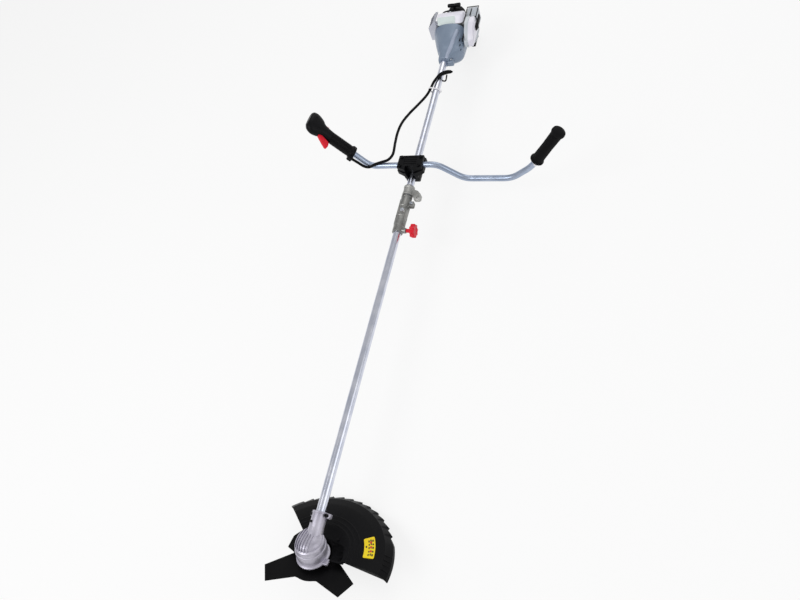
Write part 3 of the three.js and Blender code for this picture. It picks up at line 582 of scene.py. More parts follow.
# spindle, blade and what holds it, in the head's frame
bladeShape = {
    "radius": 127.5, "turn": 212.8, "drop": 46, "thick": 2, "boreR": 12.3,
    "root": 33, "rootR": 63, "tip": 10.5, "waist": 61,
}
tooth = [(bladeShape["rootR"], -bladeShape["root"]), (bladeShape["radius"], -bladeShape["tip"]),
         (bladeShape["radius"], bladeShape["tip"]), (bladeShape["rootR"], bladeShape["root"])]
tooth += [(bladeShape["waist"], a) for a in range(40, 84, 4)]
bladeOutline = []
for k in range(3):
    for r, a in tooth:
        angle = math.radians(bladeShape["turn"] + 120 * k + a)
        bladeOutline.append((r * math.cos(angle), r * math.sin(angle)))
bladeTop = -bladeShape["drop"] + bladeShape["thick"] / 2
disc = carved(slab(bladeOutline, bladeTop - bladeShape["thick"], bladeTop),
              rod(bladeShape["boreR"], -60, -30))
finishPiece("blade_pressed", disc, bladeEnamel, "blade_spindle", ["blade"],
            place=headFrame, bevel=0.35)
spindle = turned(
    [(0, -66), (6, -66), (7, -65), (7, -48), (12, -48), (12, -44.7), (24, -44.7), (26, -43.4),
     (26, -39.6), (25, -39), (7, -38), (7, -6), (0, -6)], "Z", steps=64)
finishPiece("output_shaft_ground", spindle, zincSteel, "blade_spindle", ["output_shaft"],
            place=headFrame)
flangeProfile = [
    (7.3, -48.3), (30, -48.3), (30, -49.4), (28, -52), (14, -55), (7.3, -55), (7.3, -48.3),
]
flange = turned(flangeProfile, "Z", steps=64)
finishPiece("blade_flange_turned", flange, zincSteel, "blade_spindle", ["blade_flange"],
            place=headFrame)
nut = carved(rod(11, -63, -55.3, "Z", (0, 0), 1.0, 6), rod(7.3, -70, -50))
finishPiece("blade_nut_plated", nut, zincSteel, "blade_spindle", ["blade_nut"],
            place=headFrame, bevel=0.3)
print("blade made")

# guard: a fan of moulded nylon with a stepped rim
fan = {
    "from": -3, "to": 138, "rimR": 197, "rimDrop": 52, "wall": 3.0, "skirtR": 176, "skirtWall": 2.6,
    "stepFrom": 26, "stepTo": 128, "stepWidth": 8.5, "stepDeep": 6, "stepR": 175,
    "flatR": 117, "flatSlope": 1.2 / 33,
    "stickerFrom": 9, "stickerTo": 33, "stickerLow": 126, "stickerHigh": 153,
}
upper = [
    (46.5, -27), (76, -27), (84, -23.4), (88, -23.2), (89, -22.4), (92, -22.4), (93, -23.2),
    (99, -23.3), (100, -22.6), (103, -22.6), (104, -23.4), (112, -23.6), (113, -22.9),
    (116, -22.9), (117, -23.8), (150, -25), (156, -26.4), (166, -28.6), (176, -31), (178, -33),
    (192, -42), (194, -43.6), (fan["rimR"], -fan["rimDrop"]),
]
under = [(r - (fan["skirtWall"] if r > fan["skirtR"] else 0),
          z - (0 if r == fan["rimR"] else fan["wall"]))
         for r, z in upper[::-1] if not 86 < r < 118]
shell = turned(upper + under + [upper[0]], "Z", steps=141,
               sweep=math.radians(fan["to"] - fan["from"]), start=math.radians(fan["from"]))
for vert in shell.verts:
    r = math.hypot(vert.co.x, vert.co.y)
    a = math.degrees(math.atan2(vert.co.y, vert.co.x))
    if r > fan["stepR"] and fan["stepFrom"] < a < fan["stepTo"]:
        share = ((a - fan["stepFrom"]) / fan["stepWidth"]) % 1.0
        pull = 1 - fan["stepDeep"] * share / r * (r - fan["stepR"]) / (fan["rimR"] - fan["stepR"])
        vert.co.x *= pull
        vert.co.y *= pull
wing = slab([(-79, 69), (-75, 2), (-50, -8), (48, -8), (74, -8), (150, -2), (60, 40)], -30, -27)
wing = carved(wing, rod(46.5, -60, 20, steps=64), turned(ring(84, 400, -80, 20), steps=96))
ribs = []
for a in (8, 26, 52, 74, 98, 122):
    rib = softBlock(86, 172, -0.9, 0.9, -27, -23.2, 0.5, 2)
    for vert in rib.verts:
        vert.co.z -= max(0, vert.co.x - 150) * 0.22 + max(0, vert.co.x - 86) * 0.022
    ribs.append(turnedBy(rib, a, "Z"))
# short stiffening ribs down the skirt, and the raised edge at its end
for a in (-1.6, 2.5, 6.6, 10.7, 14.8):
    rib = softBlock(176, 194, -1.1, 1.1, -35, -30.2, 0.6, 2)
    for vert in rib.verts:
        vert.co.z -= (vert.co.x - 176) * 0.68
    ribs.append(turnedBy(rib, a, "Z"))
edgeProfile = [
    (84, -23.2), (150, -24.4), (176, -30.2), (192, -41.2), (192, -44), (84, -26), (84, -23.2),
]
edgeRib = turned(edgeProfile, "Z", steps=3, sweep=math.radians(1.2), start=math.radians(fan["from"]))
screws = [rod(4.4, -28, -24.4, "Z", (x, y), 0.8) for x, y in ((-30, 56), (40, 52))]
finishPiece("guard_fan", together(shell, wing, edgeRib, *ribs, *screws), guardNylon, "lower_unit",
            ["guard"], place=headFrame, bevel=0.4)


def patch(r0, r1, a0, a1, low, high):
    # flat piece of a ring that follows the fan's slope
    corners = [(r0, low), (r1, low), (r1, high), (r0, high), (r0, low)]
    sloped = [(r, z - (r - fan["flatR"]) * fan["flatSlope"]) for r, z in corners]
    return turned(sloped, "Z", steps=12, sweep=math.radians(a1 - a0), start=math.radians(a0))


label = patch(fan["stickerLow"], fan["stickerHigh"], fan["stickerFrom"], fan["stickerTo"], -24.0, -23.0)
labelCorners = [e for e in label.edges
                if rise(e, "Z") > 0.9 and (e.verts[0].co - e.verts[1].co).xy.length < 0.1
                and len(e.link_faces) == 2 and e.calc_face_angle(0) > 1]
rounded(label, 3, 4, labelCorners)
finishPiece("guard_label", label, yellowVinyl, "lower_unit", place=headFrame)
marks = []
for k, (r0, r1) in enumerate(((146, 149.5), (141.5, 144.5), (136.5, 139.5))):
    for j in range(5):
        a = 11.4 + j * 4 + (k % 2) * 0.6
        marks.append(patch(r0, r1, a, a + 2.3 - 0.4 * (j % 2), -23.1, -22.8))
marks.append(patch(129.5, 133, 21, 23.4, -23.1, -22.8))
finishPiece("guard_label_marks", together(*marks), darkInk, "lower_unit",
            place=headFrame)
redMarks = [patch(140.2, 145.2, a, a + 2.2, -23.1, -22.7) for a in (15.6, 20.4, 25.8)]
finishPiece("guard_label_red", together(*redMarks), redInk, "lower_unit",
            place=headFrame)
print("guard made")

# split-shaft coupler
coupler = {"knobY": 911, "pin": (6, 972), "screw": (24, 1005), "ribs": (-52, 52, 130, 180, 230)}
knobLine = (coupler["knobY"], 0)
sleeve = turned(
    [(12.3, 902), (16, 902), (16.6, 903), (16.6, 926), (17.5, 927), (17.5, 944), (16.4, 945.5),
     (16.4, 958), (17.5, 959.5), (17.5, 984), (16.2, 986), (16.2, 994), (17.5, 996), (17.5, 1020),
     (16.6, 1022), (16.6, 1029), (17.4, 1030), (17.4, 1033), (16.6, 1034), (12.3, 1034), (12.3, 902)],
    "Y", steps=72)
ribsAlong = [turnedBy(softBlock(-1.3, 1.3, 928, 1018, 16, 18.4, 0.6, 2), a, "Y")
             for a in coupler["ribs"]]
boss = rod(8.5, 13, 27, "X", knobLine, 0.8)
clampEar = softBlock(13, 31, 996, 1014, -9, 9, 3.2)
pinBoss = rod(7.5, 12, 21, "Z", coupler["pin"], 0.8)
couplerWhole = carved(
    together(sleeve, boss, clampEar, pinBoss, *ribsAlong),
    rod(tubeFit, 890, 1040, "Y", steps=72),
    rod(3.4, 5, 40, "X", knobLine),
    block(13.5, 40, 990, 1040, -0.9, 0.9),
    rod(3.3, 5, 30, "Z", coupler["pin"]),
    crossing=True,
)
finishPiece("coupler_cast", couplerWhole, castGrey, "engine_unit", ["coupler_body"],
            bevel=0.4)
earBolt = together(socketHead(coupler["screw"], 9.3, 14, 11), rod(2.5, -13, 10, "Z", coupler["screw"]))
finishPiece("coupler_screw", earBolt, zincSteel, "engine_unit", ["coupler_bolt"])
pin = together(
    rod(3, 13, 22, "Z", coupler["pin"]),
    turned([(0, 21.3), (5.4, 21.3), (6, 22), (6, 25), (5.2, 26.6), (3.5, 27), (0, 27)], "Z",
           coupler["pin"], 40))
finishPiece("coupler_pin_plated", pin, zincSteel, "coupler_pin", ["coupler_pin"])

knob = {"lobes": 8, "waist": 17.4, "reach": 21.4, "from": 43, "to": 58}
middle = (knob["waist"] + knob["reach"]) / 2
swell = (knob["reach"] - knob["waist"]) / 2
lobed = []
for i in range(96):
    angle = math.tau * i / 96
    r = middle + swell * math.cos(knob["lobes"] * angle)
    lobed.append((coupler["knobY"] + r * math.cos(angle), r * math.sin(angle)))
wheel = slab(lobed, knob["from"], knob["to"], "X")
rounded(wheel, 2.6, 4, levelEdges(wheel, "X"))
dish = turned([(0, 56.4), (8, 56.4), (11.5, 57.6), (11.5, 60), (0, 60)], "X", knobLine, 48)
hub = turned([(0, 28), (5.6, 28), (6, 28.6), (6, 40), (9, 43.4), (0, 43.4)], "X", knobLine, 40)
stem = rod(3, 12.8, 30, "X", knobLine)
finishPiece("coupler_knob_moulded", together(carved(wheel, dish), hub, stem), redAbs,
            "coupler_knob", ["coupler_knob"])

# harness bracket, a collar with an ear for the hook
harness = {"eye": (38, 1031), "eyeRadius": 5.5, "earHalf": 6}
collar = turned(
    [(12.3, 1038), (16.4, 1038), (17.5, 1039.4), (17.5, 1044), (16.6, 1045.4), (16.6, 1064),
     (17.5, 1065.4), (17.5, 1070), (16.6, 1072), (12.3, 1072), (12.3, 1038)], "Y", steps=72)
ear = slab([(12, 1062), (12, 1041), (21, 1036), (26, 1023), (31, 1020), (43, 1020), (48, 1024),
            (48, 1038), (44, 1044), (32, 1056)], -harness["earHalf"], harness["earHalf"])
rounded(ear, 1.4, 3, levelEdges(ear, "Z"))
bracket = carved(together(collar, ear), rod(tubeFit, 1030, 1080, "Y", steps=72),
                 rod(harness["eyeRadius"], -10, 10, "Z", harness["eye"], steps=48), crossing=True)
finishPiece("harness_bracket_cast", bracket, castCollar, "engine_unit",
            ["harness_bracket"], bevel=0.5)
print("coupler made")

# handlebar clamp
clamp = {
    "bolts": [(-31, 1122.5), (31, 1122.5), (-31, 1155), (31, 1155)],
    "notchHalf": 13, "notchBack": 1122, "barBore": 9.8,
}


def openFront(low):
    # the clamp is open over the tube, from its front edge
    return block(-clamp["notchHalf"], clamp["notchHalf"], 1080, clamp["notchBack"], low, 60)


def boltHoles():
    return [rod(3.3, 0, 60, "Z", place) for place in clamp["bolts"]]


def tubeHole():
    return rod(tubeFit, 1070, 1190, "Y", steps=72)


def barHole():
    return rod(clamp["barBore"], -60, 60, "X", (barY, barZ), steps=72)


lowerBlock = carved(softBlock(-23, 23, 1108, 1158, -20, -0.15, 3.5), tubeHole())
finishPiece("clamp_lower_moulded", lowerBlock, blackNylon, "engine_unit",
            ["clamp_lower"], bevel=0.5)
midPlate = slab([(-20, 1104), (22, 1104), (43, 1116), (43, 1164), (-43, 1164), (-43, 1116)], 14, 29.85)
midBlock = carved(
    softBlock(-23, 23, 1106, 1162, 0.15, 20, 2.5), midPlate, operation="UNION")
midBlock = carved(midBlock, tubeHole(), barHole(), openFront(0.15), *boltHoles())
finishPiece("clamp_middle_moulded", midBlock, blackNylon, "engine_unit",
            ["clamp_middle"], bevel=0.8)
capPlate = slab([(-17, 1107), (18, 1107), (41, 1117), (41, 1162), (-41, 1162), (-41, 1117)], 30.15, 45)
recess = rounded(slab([(-21, 1124), (21, 1124), (21, 1156), (-21, 1156)], 43, 50), 1.2, 2)
ribAcross = [block(-20, 20, y - 1, y + 1, 42.6, 44.2) for y in (1132, 1140, 1148)]
capBlock = together(carved(capPlate, barHole(), openFront(20), recess, *boltHoles()), *ribAcross)
finishPiece("clamp_cap_moulded", capBlock, blackNylon, "engine_unit",
            ["clamp_cap"], bevel=0.9)
for i, place in enumerate(clamp["bolts"]):
    screw = together(socketHead(place, 45.3, 49.5, 47.2), rod(3, 10, 46, "Z", place))
    finishPiece(f"clamp_screw_{i + 1}", screw, blackNylon, "engine_unit",
                [f"clamp_bolt_{i + 1}"])
print("clamp made")

# handlebar
bar = {"radius": 9.5, "setback": 24}
barCorners = [onBar(*p) for p in (
    alongLeg(rightLeg, rightLeg["length"]), rightLeg["from"], (84, 0), (160, -64), (308, -66),
    leftLeg["from"], alongLeg(leftLeg, leftLeg["length"]))]
barLine = [barCorners[0]]
for before, corner, after in zip(barCorners, barCorners[1:], barCorners[2:]):
    a = corner + (before - corner).normalized() * bar["setback"]
    b = corner + (after - corner).normalized() * bar["setback"]
    for k in range(13):
        t = k / 12
        barLine.append(a * (1 - t) ** 2 + corner * 2 * t * (1 - t) + b * t * t)
barLine.append(barCorners[-1])
finishPiece("handlebar_bent", swept(barLine, bar["radius"], 48), bentTube, "engine_unit",
            ["handlebar"])

# left rubber grip
plainGrip = {"ribs": 22, "pitch": 4.9, "start": 42, "waist": 15.4, "swell": 1.0, "proud": 0.9}
gripSteps = [(9.8, 34), (20, 34), (21, 34.8), (21, 37.2), (20, 38), (16.6, 39.4)]
halfway = (plainGrip["ribs"] - 1) / 2
for k in range(plainGrip["ribs"]):
    y = plainGrip["start"] + k * plainGrip["pitch"]
    r = plainGrip["waist"] + plainGrip["swell"] * abs(k - halfway) / halfway
    top = r + plainGrip["proud"]
    gripSteps += [(r, y), (top, y + 0.8), (top, y + 3.0), (r, y + 3.8)]
gripSteps += [(17, 150.5), (20, 152.5), (20.4, 155), (19.6, 160), (16, 162.6), (9, 163.8), (0, 164),
              (0, 152.3), (9.8, 152.3), (9.8, 34)]
finishPiece("rubber_grip_moulded", turned(gripSteps, "Y", steps=96), softRubber, "engine_unit",
            ["rubber_grip"], place=leftFrame)
gripRing = together(
    turned(ring(9.8, 13.6, 26, 33.4, 0.8), "Y", steps=64), softBlock(-4, 4, 26, 33, 12, 19, 1.6))
finishPiece("grip_collar", gripRing, whiteNylon, "engine_unit", place=leftFrame)

# throttle grip, its trigger and stop switch
throttleGrip = {"ribs": 17, "pitch": 4.2, "start": 89}
gripKeys = [(160, 0, 0, 17, 18), (188, 0, -2, 17.5, 21), (202, 0, -5, 18, 31), (220, 0, -7, 18.5, 37),
            (234, 0, -9, 17.4, 34), (240, 0, -10, 14.5, 28.5), (243, 0, -10, 11, 23)]
gripRows = [(70, 0, 0, 18.6, 19.6), (71, 0, 0, 20, 21), (81, 0, 0, 20, 21), (82.4, 0, 0, 18.6, 19.6),
            (85, 0, 0, 16.6, 17.6)]
for k in range(throttleGrip["ribs"]):
    y = throttleGrip["start"] + k * throttleGrip["pitch"]
    for lift, w in ((0, 16.2), (0.7, 17), (2.8, 17), (3.4, 16.2)):
        gripRows.append((y + lift, 0, 0, w, w + 1))
gripRows += between(gripKeys, 6)
gripBody = carved(
    lofted(gripRows, 2.3, 72),
    rod(9.8, 50, 172.6, "Y", steps=48),
    softBlock(-6, 6, 155, 199, 11.5, 60, 1.2, 2),
    softBlock(-5, 5, 173, 193, -50, -12, 0.8, 2),
    block(-0.35, 0.35, 60, 260, 16.4, 60),
    block(-0.35, 0.35, 60, 260, -60, -16.4),
)
lugs = [softBlock(-9, 9, 68, 84, 16, 30, 2.5), softBlock(10, 21, 72, 80, -6, 6, 2)]
sideScrews = [turned([(0, 15), (3.2, 15), (3.2, 17.8), (2.6, 18.4), (0, 18.4)], "X", (y, z), 24)
              for y, z in ((206, 6), (226, -20))]
finishPiece("throttle_grip_moulded", together(gripBody, *lugs), blackNylon, "engine_unit",
            ["throttle_grip_left", "throttle_grip_right"], place=rightFrame, bevel=0.4)
finishPiece("throttle_grip_screws", together(*sideScrews), blackNylon, "engine_unit",
            place=rightFrame)
triggerLine = [
    (197, 24), (197, 17), (193, 14), (176.5, 19), (160, 24), (158, 27), (156.4, 33), (156.2, 40),
    (157.4, 46), (160, 48), (163.5, 47.8), (169, 44), (175, 40.4), (182, 35), (188, 31),
]
triggerHalf = 5.2
lever = slab(triggerLine, -triggerHalf, triggerHalf, "X")
rounded(lever, 1.6, 4, levelEdges(lever, "X"))
finishPiece("throttle_trigger_moulded", lever, redAbs, "throttle_trigger",
            ["throttle_trigger"], place=rightFrame)
switchRibs = [softBlock(-4, 4, y, y + 1.4, -26.6, -23.8, 0.5, 2) for y in (175.4, 178.7, 182)]
switch = together(softBlock(-4.5, 4.5, 174, 185, -24.6, -12.6, 1.2), *switchRibs)
finishPiece("stop_switch_moulded", switch, redAbs, "stop_switch", ["stop_switch"],
            place=rightFrame)
print("handlebar made")

# cables, held all the way by the grip, the clamp, the tie and the engine
sleeveRadius = 4.4
cableRadius = 2.5
sleeveStart = onBar(*alongLeg(rightLeg, 67.5)) + Vector((0, -21.9, 1.9))
sleeveLine = smoothLine([
    tuple(sleeveStart), (-166.4, 1119.8, 68), (-152.9, 1120.1, 49.3), (-137, 1123, 41.5),
    (-118, 1131, 45), (-98, 1138.5, 45.2), (-80, 1146, 44.5), (-71, 1162, 42), (-71, 1185, 37),
    (-79, 1230, 30), (-84, 1280, 25), (-81, 1325, 20), (-66, 1368, 16), (-44, 1408, 14),
    (-25, 1445, 13), (-17, 1475, 12.5), (-9, 1504, 17), (6, 1530, 19), (26, 1546, 15), (44, 1556, 6)])
# the sleeve ends in a boot, which swells and then tapers
bootStart = len(sleeveLine) - 21
sleeveRadii = [sleeveRadius] * bootStart
for i in range(21):
    sleeveRadii.append(sleeveRadius + 2.4 * math.sin(math.pi * min(1, i / 18) * 0.9))
sleeveRadii[-3:] = [3.9, 3.2, 2.2]
finishPiece("cable_sleeve_drawn", swept(sleeveLine, sleeveRadius, 20, sleeveRadii), softRubber,
            "engine_unit", ["cable_sleeve"])
cableLine = smoothLine([
    (27, 1540.5, 8), (17, 1537, -14), (-4, 1556, -23), (-14, 1600, -28), (-17, 1640, -40),
    (-12, 1665, -53), (2, 1700, -65), (24, 1730, -68), (46, 1742, -44), (47, 1756, -14),
    (50, 1770, 2), (54, 1777, 12)])
finishPiece("throttle_cable_drawn", swept(cableLine, cableRadius, 16), softRubber, "engine_unit",
            ["throttle_cable"])


def bandOutline(grown):
    # a loop drawn tight round the tube and the sleeve
    points = []
    for i in range(72):
        angle = math.tau * i / 72
        x, z, r = max(((0, 0, tubeFit + grown), (-17, 12.5, 4.8 + grown)),
                      key=lambda d: d[0] * math.cos(angle) + d[1] * math.sin(angle) + d[2])
        points.append((x + r * math.cos(angle), z + r * math.sin(angle)))
    return points


band = carved(slab(bandOutline(2.0), 1473.6, 1478, "Y"), slab(bandOutline(0.6), 1470, 1480, "Y"))
tieHead = softBlock(12, 19, 1473, 1479, -4, 4, 1)
finishPiece("zip_tie_drawn", together(band, tieHead), whiteNylon, "engine_unit",
            ["zip_tie"])
print("cables made")

# clutch housing: a cone with a raised ridge and cooling slots
cone = {"power": 2.5, "sides": 96, "wall": 3.5, "screw": (26, 1617), "slotTurn": 58}
coneKeys = [
    (1612, 1, 0, 19.4, 19.4), (1613.5, 1, 0, 20.6, 20.8), (1620, 3, 0, 24, 23),
    (1636, 14, 0, 36, 32), (1652, 16, 0, 46, 42), (1676, 12, 0, 51.4, 49.6), (1700, 8, 0, 56, 52),
    (1722, 5, 0, 59.6, 56.4), (1733, 4, 0, 61, 58), (1734, 4, 0, 60.6, 57.6),
]
coneRows = between(coneKeys, 5)
hollowRows = [(y, x, z, max(w - cone["wall"], tubeFit), max(h - cone["wall"], tubeFit))
              for y, x, z, w, h in coneRows if y > tubes["upperEnd"]]
hollowRows.append((1740, 4, 0, 57.5, 54.5))
ridgeLine = smoothLine([(11, 1613, 14), (15, 1625, 21), (23, 1638, 29.5), (30, 1654, 37.5),
                        (34, 1672, 43), (38, 1695, 46), (41, 1712, 48)], 6)
ridgeWidths = [5.5 + 2.5 * min(1, i / 12) for i in range(len(ridgeLine))]
ridgeWidths[-4:] = [7.6, 6.8, 5.2, 2.6]
ridge = swept(ridgeLine, 8, 24, ridgeWidths)
coneEar = softBlock(12, 34, 1606, 1628, -16, 4, 3.4)
coneSolid = carved(lofted(coneRows, cone["power"], cone["sides"]), coneEar, operation="UNION")
ridgeRoot = [(y, x, z, w - 1, h - 1) for y, x, z, w, h in coneRows]
ridge = carved(ridge, lofted(ridgeRoot, cone["power"], 64))
# the ridge's paler coat is a painted highlight
finishPiece("clutch_housing_ridge", ridge, ridgeHighlightCoat, "engine_unit")
slots = []
for x, y, z, long in ((52, 1676, 31, 7.5), (56, 1657, 25, 5), (58, 1648, 14, 3.4)):
    slot = softBlock(-2.4, 2.4, -long, long, -24, 24, 2.2)
    slots.append(moved(turnedBy(slot, cone["slotTurn"], "Y"), (x - 4, y, z)))
coneSolid = carved(coneSolid, lofted(hollowRows, cone["power"], cone["sides"]),
                   rod(tubeFit, 1590, 1640, "Y", steps=72), *slots)
finishPiece("clutch_housing_painted", coneSolid, powderCoat, "engine_unit",
            ["clutch_housing"], bevel=0.6)
earScrew = together(socketHead(cone["screw"], 3.6, 8.4, 6, 4.6, 2.2),
                    rod(4.6, -20, -15.6, "Z", cone["screw"], 0.6))
finishPiece("clutch_housing_screws", earScrew, zincSteel, "engine_unit")
print("clutch housing made")

# cylinder and its plug
barrel = {"y": 1767, "base": 34.3, "top": 62, "plugZ": 54, "finReach": 25,
          "fins": [38, 41.6, 45.2, 48.8, 52.4, 56, 59]}
barrelSteps = [(0, barrel["base"]), (25, barrel["base"]), (25, 36.6), (18, 37)]
for k, h in enumerate(barrel["fins"]):
    reach = barrel["finReach"] - max(0, k - 1) * 1.9
    barrelSteps += [(17, h - 0.9), (reach - 0.5, h - 0.8), (reach, h), (reach - 0.5, h + 0.8),
                    (17, h + 0.9)]
barrelSteps += [(16, barrel["top"] - 2), (15, barrel["top"]), (0, barrel["top"])]
barrelBody = together(
    turned(barrelSteps, "Z", (0, barrel["y"]), 72),
    rod(7, 1777, 1789, "Y", (0, barrel["plugZ"]), 0.6),
    softBlock(14, 41, 1743, 1759, 35, 46, 1.6))
finishPiece("cylinder_cast", barrelBody, castGrey, "engine_unit", ["cylinder"])
plugProfile = [
    (0, 1776), (5.2, 1776), (5.2, 1789.4), (7.4, 1789.6), (7.4, 1793), (4.4, 1793.2), (4.4, 1800),
    (3, 1801), (3, 1803), (0, 1803),
]
plug = turned(plugProfile, "Y", (0, barrel["plugZ"]), 36)
finishPiece("spark_plug_plated", plug, zincSteel, "engine_unit", ["spark_plug"])

# white engine cowl, an open-bottomed cap over the cylinder
cowl = {"x": 8, "power": 7, "wall": 2.4}
cowlKeys = [
    (50, 1768, 48, 29), (52, 1768, 48, 29), (55, 1769, 47.8, 27), (60, 1769, 47.2, 22),
    (65, 1767.5, 46.6, 15.5), (69, 1766, 46, 10.4), (71, 1765.8, 44.8, 8.6), (71.6, 1766, 43, 7),
]
cowlRows = between([(z, cowl["x"], y, w, h) for z, y, w, h in cowlKeys], 5)
innerRows = [(z, x, y, w - cowl["wall"], h - cowl["wall"]) for z, x, y, w, h in cowlRows if z < 68.6]
innerRows = [(46.0,) + innerRows[0][1:]] + innerRows
cowlBody = carved(lofted(cowlRows, cowl["power"], 96, "Z"), lofted(innerRows, cowl["power"], 96, "Z"),
                  rod(9, 1774, 1820, "Y", (0, barrel["plugZ"])))
finishPiece("cylinder_cowl_moulded", cowlBody, whiteAbs, "engine_unit",
            ["cylinder_cowl"], bevel=0.4)
# the label leans back with the cowl's front
plate = {"left": -36, "right": 28, "low": 51.6, "high": 70, "lean": 0.97}
panel = slab([(plate["left"], plate["low"]), (plate["right"], plate["low"]),
              (plate["right"], plate["high"]), (plate["left"], plate["high"])], 1737.9, 1741.4, "Y")
rounded(panel, 2.2, 4, cornerEdges(panel, "Y"))
for vert in panel.verts:
    vert.co.y += (vert.co.z - 52) * plate["lean"]
finishPiece("cowl_label", panel, paleVinyl, "engine_unit")
print("cylinder and cowl made")

# muffler guard: a pressed sheet with louvres
sheetGuard = {"openings": 4, "pitch": 11, "slant": -46, "strips": 5, "stripPitch": 10.4}
guardLine = [(-42, -6), (-73, -6), (-73, 44), (-50, 68), (-42, 68)]
guardInner = [(-39, -3), (-70, -3), (-70, 42.8), (-48.8, 65), (-39, 65)]
sheetBody = slab(guardLine, 1738, 1790, "Y")
rounded(sheetBody, 2.4, 4, [e for e in cornerEdges(sheetBody, "Y") if e.verts[0].co.x < -45])
openings = []
slits = []
folds = []
for i in range(sheetGuard["openings"]):
    y = 1747 + sheetGuard["pitch"] * i
    openings.append(softBlock(-80, -66, y - 3, y + 3, 4, 38, 1.8))
    slit = turnedBy(softBlock(-11, 11, -1.7, 1.7, -6, 6, 1.4), sheetGuard["slant"], "Y")
    slits.append(moved(slit, (-61.5, y, 56)))
    fold = turnedBy(softBlock(-0.6, 0.6, -3.6, 3.6, 5, 37, 0.5, 2), -34, "Z")
    folds.append(moved(fold, (-72.4, y, 0)))
outlet = rod(6.4, 1780, 1800, "Y", (-54, 14))
sheetBody = carved(sheetBody, slab(guardInner, 1741, 1800, "Y"), *openings, *slits, outlet)
finishPiece("muffler_guard_pressed", together(sheetBody, *folds), pressedSheet,
            "engine_unit", ["muffler_guard"], bevel=0.3)
# dark strips set in the louvre slits of the slanted face and in the openings down the side: painted
# shade in the openings
louvreShadeStrips = []
for i in range(sheetGuard["strips"]):
    y = 1742 + sheetGuard["stripPitch"] * i
    strip = turnedBy(softBlock(-12.5, 12.5, -1.1, 1.1, -0.7, 0.9, 0.5, 2), sheetGuard["slant"], "Y")
    louvreShadeStrips.append(moved(strip, (-61.7, y + 0.6, 56.2)))
    louvreShadeStrips.append(softBlock(-73.6, -72.2, y, y + 2, 2, 42, 0.5, 2))
finishPiece("muffler_guard_louvres", together(*louvreShadeStrips), louvreShadeSheet, "engine_unit")
guardScrews = [rod(3.4, -73.4, -72, "X", place, 0.5, 6) for place in ((1741.5, 42), (1787, 42))]
finishPiece("muffler_guard_screws", together(*guardScrews), zincSteel, "engine_unit")

# air filter, its cover and latch
filterBox = {"front": 1670, "rear": 1756, "low": 2, "high": 64, "slantY": 1722, "slantZ": 26}


def filterOutline(inset):
    f = filterBox
    return [(f["front"] + inset, f["low"] + inset), (f["rear"] - inset, f["low"] + inset),
            (f["rear"] - inset, f["high"] - inset), (f["slantY"] - inset * 0.4, f["high"] - inset),
            (f["front"] + inset, f["slantZ"] - inset * 0.4)]


def roundedSlab(inset, low, high, corner, edge):
    bm = slab(filterOutline(inset), low, high, "X")
    rounded(bm, corner, 5, cornerEdges(bm, "X"))
    return rounded(bm, edge, 3, [e for e in levelEdges(bm, "X") if e.verts[0].co.x > high - 0.1])


cover = roundedSlab(1.4, 80.3, 97.2, 5, 2.6)
raised = roundedSlab(12, 96, 99, 8, 1.2)
# an oval swelling on the slanted face
slant = math.atan2(filterBox["high"] - filterBox["slantZ"], filterBox["slantY"] - filterBox["front"])
ovalY = (filterBox["front"] + filterBox["slantY"]) / 2 + 1
ovalZ = (filterBox["high"] + filterBox["slantZ"]) / 2 - 1.6
oval = softBlock(-9.5, 9.5, -26, 26, -2, 2.4, 1.1, 3)
rounded(oval, 7, 6, cornerEdges(oval, "Z", 1.5))
moved(turnedBy(oval, math.degrees(slant), "X"), (87.6, ovalY, ovalZ))
finishPiece("air_filter_cover_moulded", together(cover, raised, oval), whiteAbs,
            "engine_unit", ["air_filter_cover"])
caseBox = roundedSlab(0.2, 67, 79, 5, 0.8)
seam = roundedSlab(-1.2, 77.6, 80.1, 5.6, 0.8)
finishPiece("air_filter_case_moulded", together(caseBox, seam), filterGrey, "engine_unit",
            ["air_filter_case"])
latch = together(
    rod(2.9, 90, 101, "X", (1734, 33)),
    softBlock(99.4, 104.4, 1724, 1790, 24, 42, 2.2),
    softBlock(103.6, 105.8, 1752, 1784, 27, 39, 1.0),
    *[softBlock(103.8, 106, 1728 + 5 * k, 1730 + 5 * k, 26, 40, 0.6, 2) for k in range(4)])
finishPiece("filter_latch_moulded", latch, blackNylon, "filter_latch",
            ["filter_latch"])
choke = together(
    softBlock(63.5, 66.7, 1664, 1694, 36, 44, 1.4),
    softBlock(63.6, 66.6, 1664, 1669, 34.4, 45.6, 1.2))
finishPiece("choke_lever_moulded", choke, blackNylon, "choke_lever",
            ["choke_lever"])
print("air filter made")

# primer bulb, plug cap and its lead
bulb = turned([(0, 17), (4, 17), (6, 17.4), (7, 18.6), (7, 23.6), (0, 23.6)], "Z", (52, 1748), 48)
finishPiece("primer_bulb_moulded", bulb, redAbs, "primer_bulb", ["primer_bulb"])
leadRadius = 2.4
leadLine = smoothLine([
    (0, 1805, 54), (-12, 1809, 52), (-30, 1808, 48), (-42, 1801, 36), (-44, 1796, 24)])
lead = swept(leadLine, leadRadius, 20)
plugCapProfile = [
    (0, 1793.5), (5.4, 1793.5), (6, 1794.2), (6, 1798), (5.2, 1799), (6, 1800), (6, 1807),
    (4.4, 1809), (0, 1809),
]
cap = turned(plugCapProfile, "Y", (0, barrel["plugZ"]), 40)
finishPiece("plug_cap_moulded", together(cap, lead), softRubber, "engine_unit", ["plug_cap"])

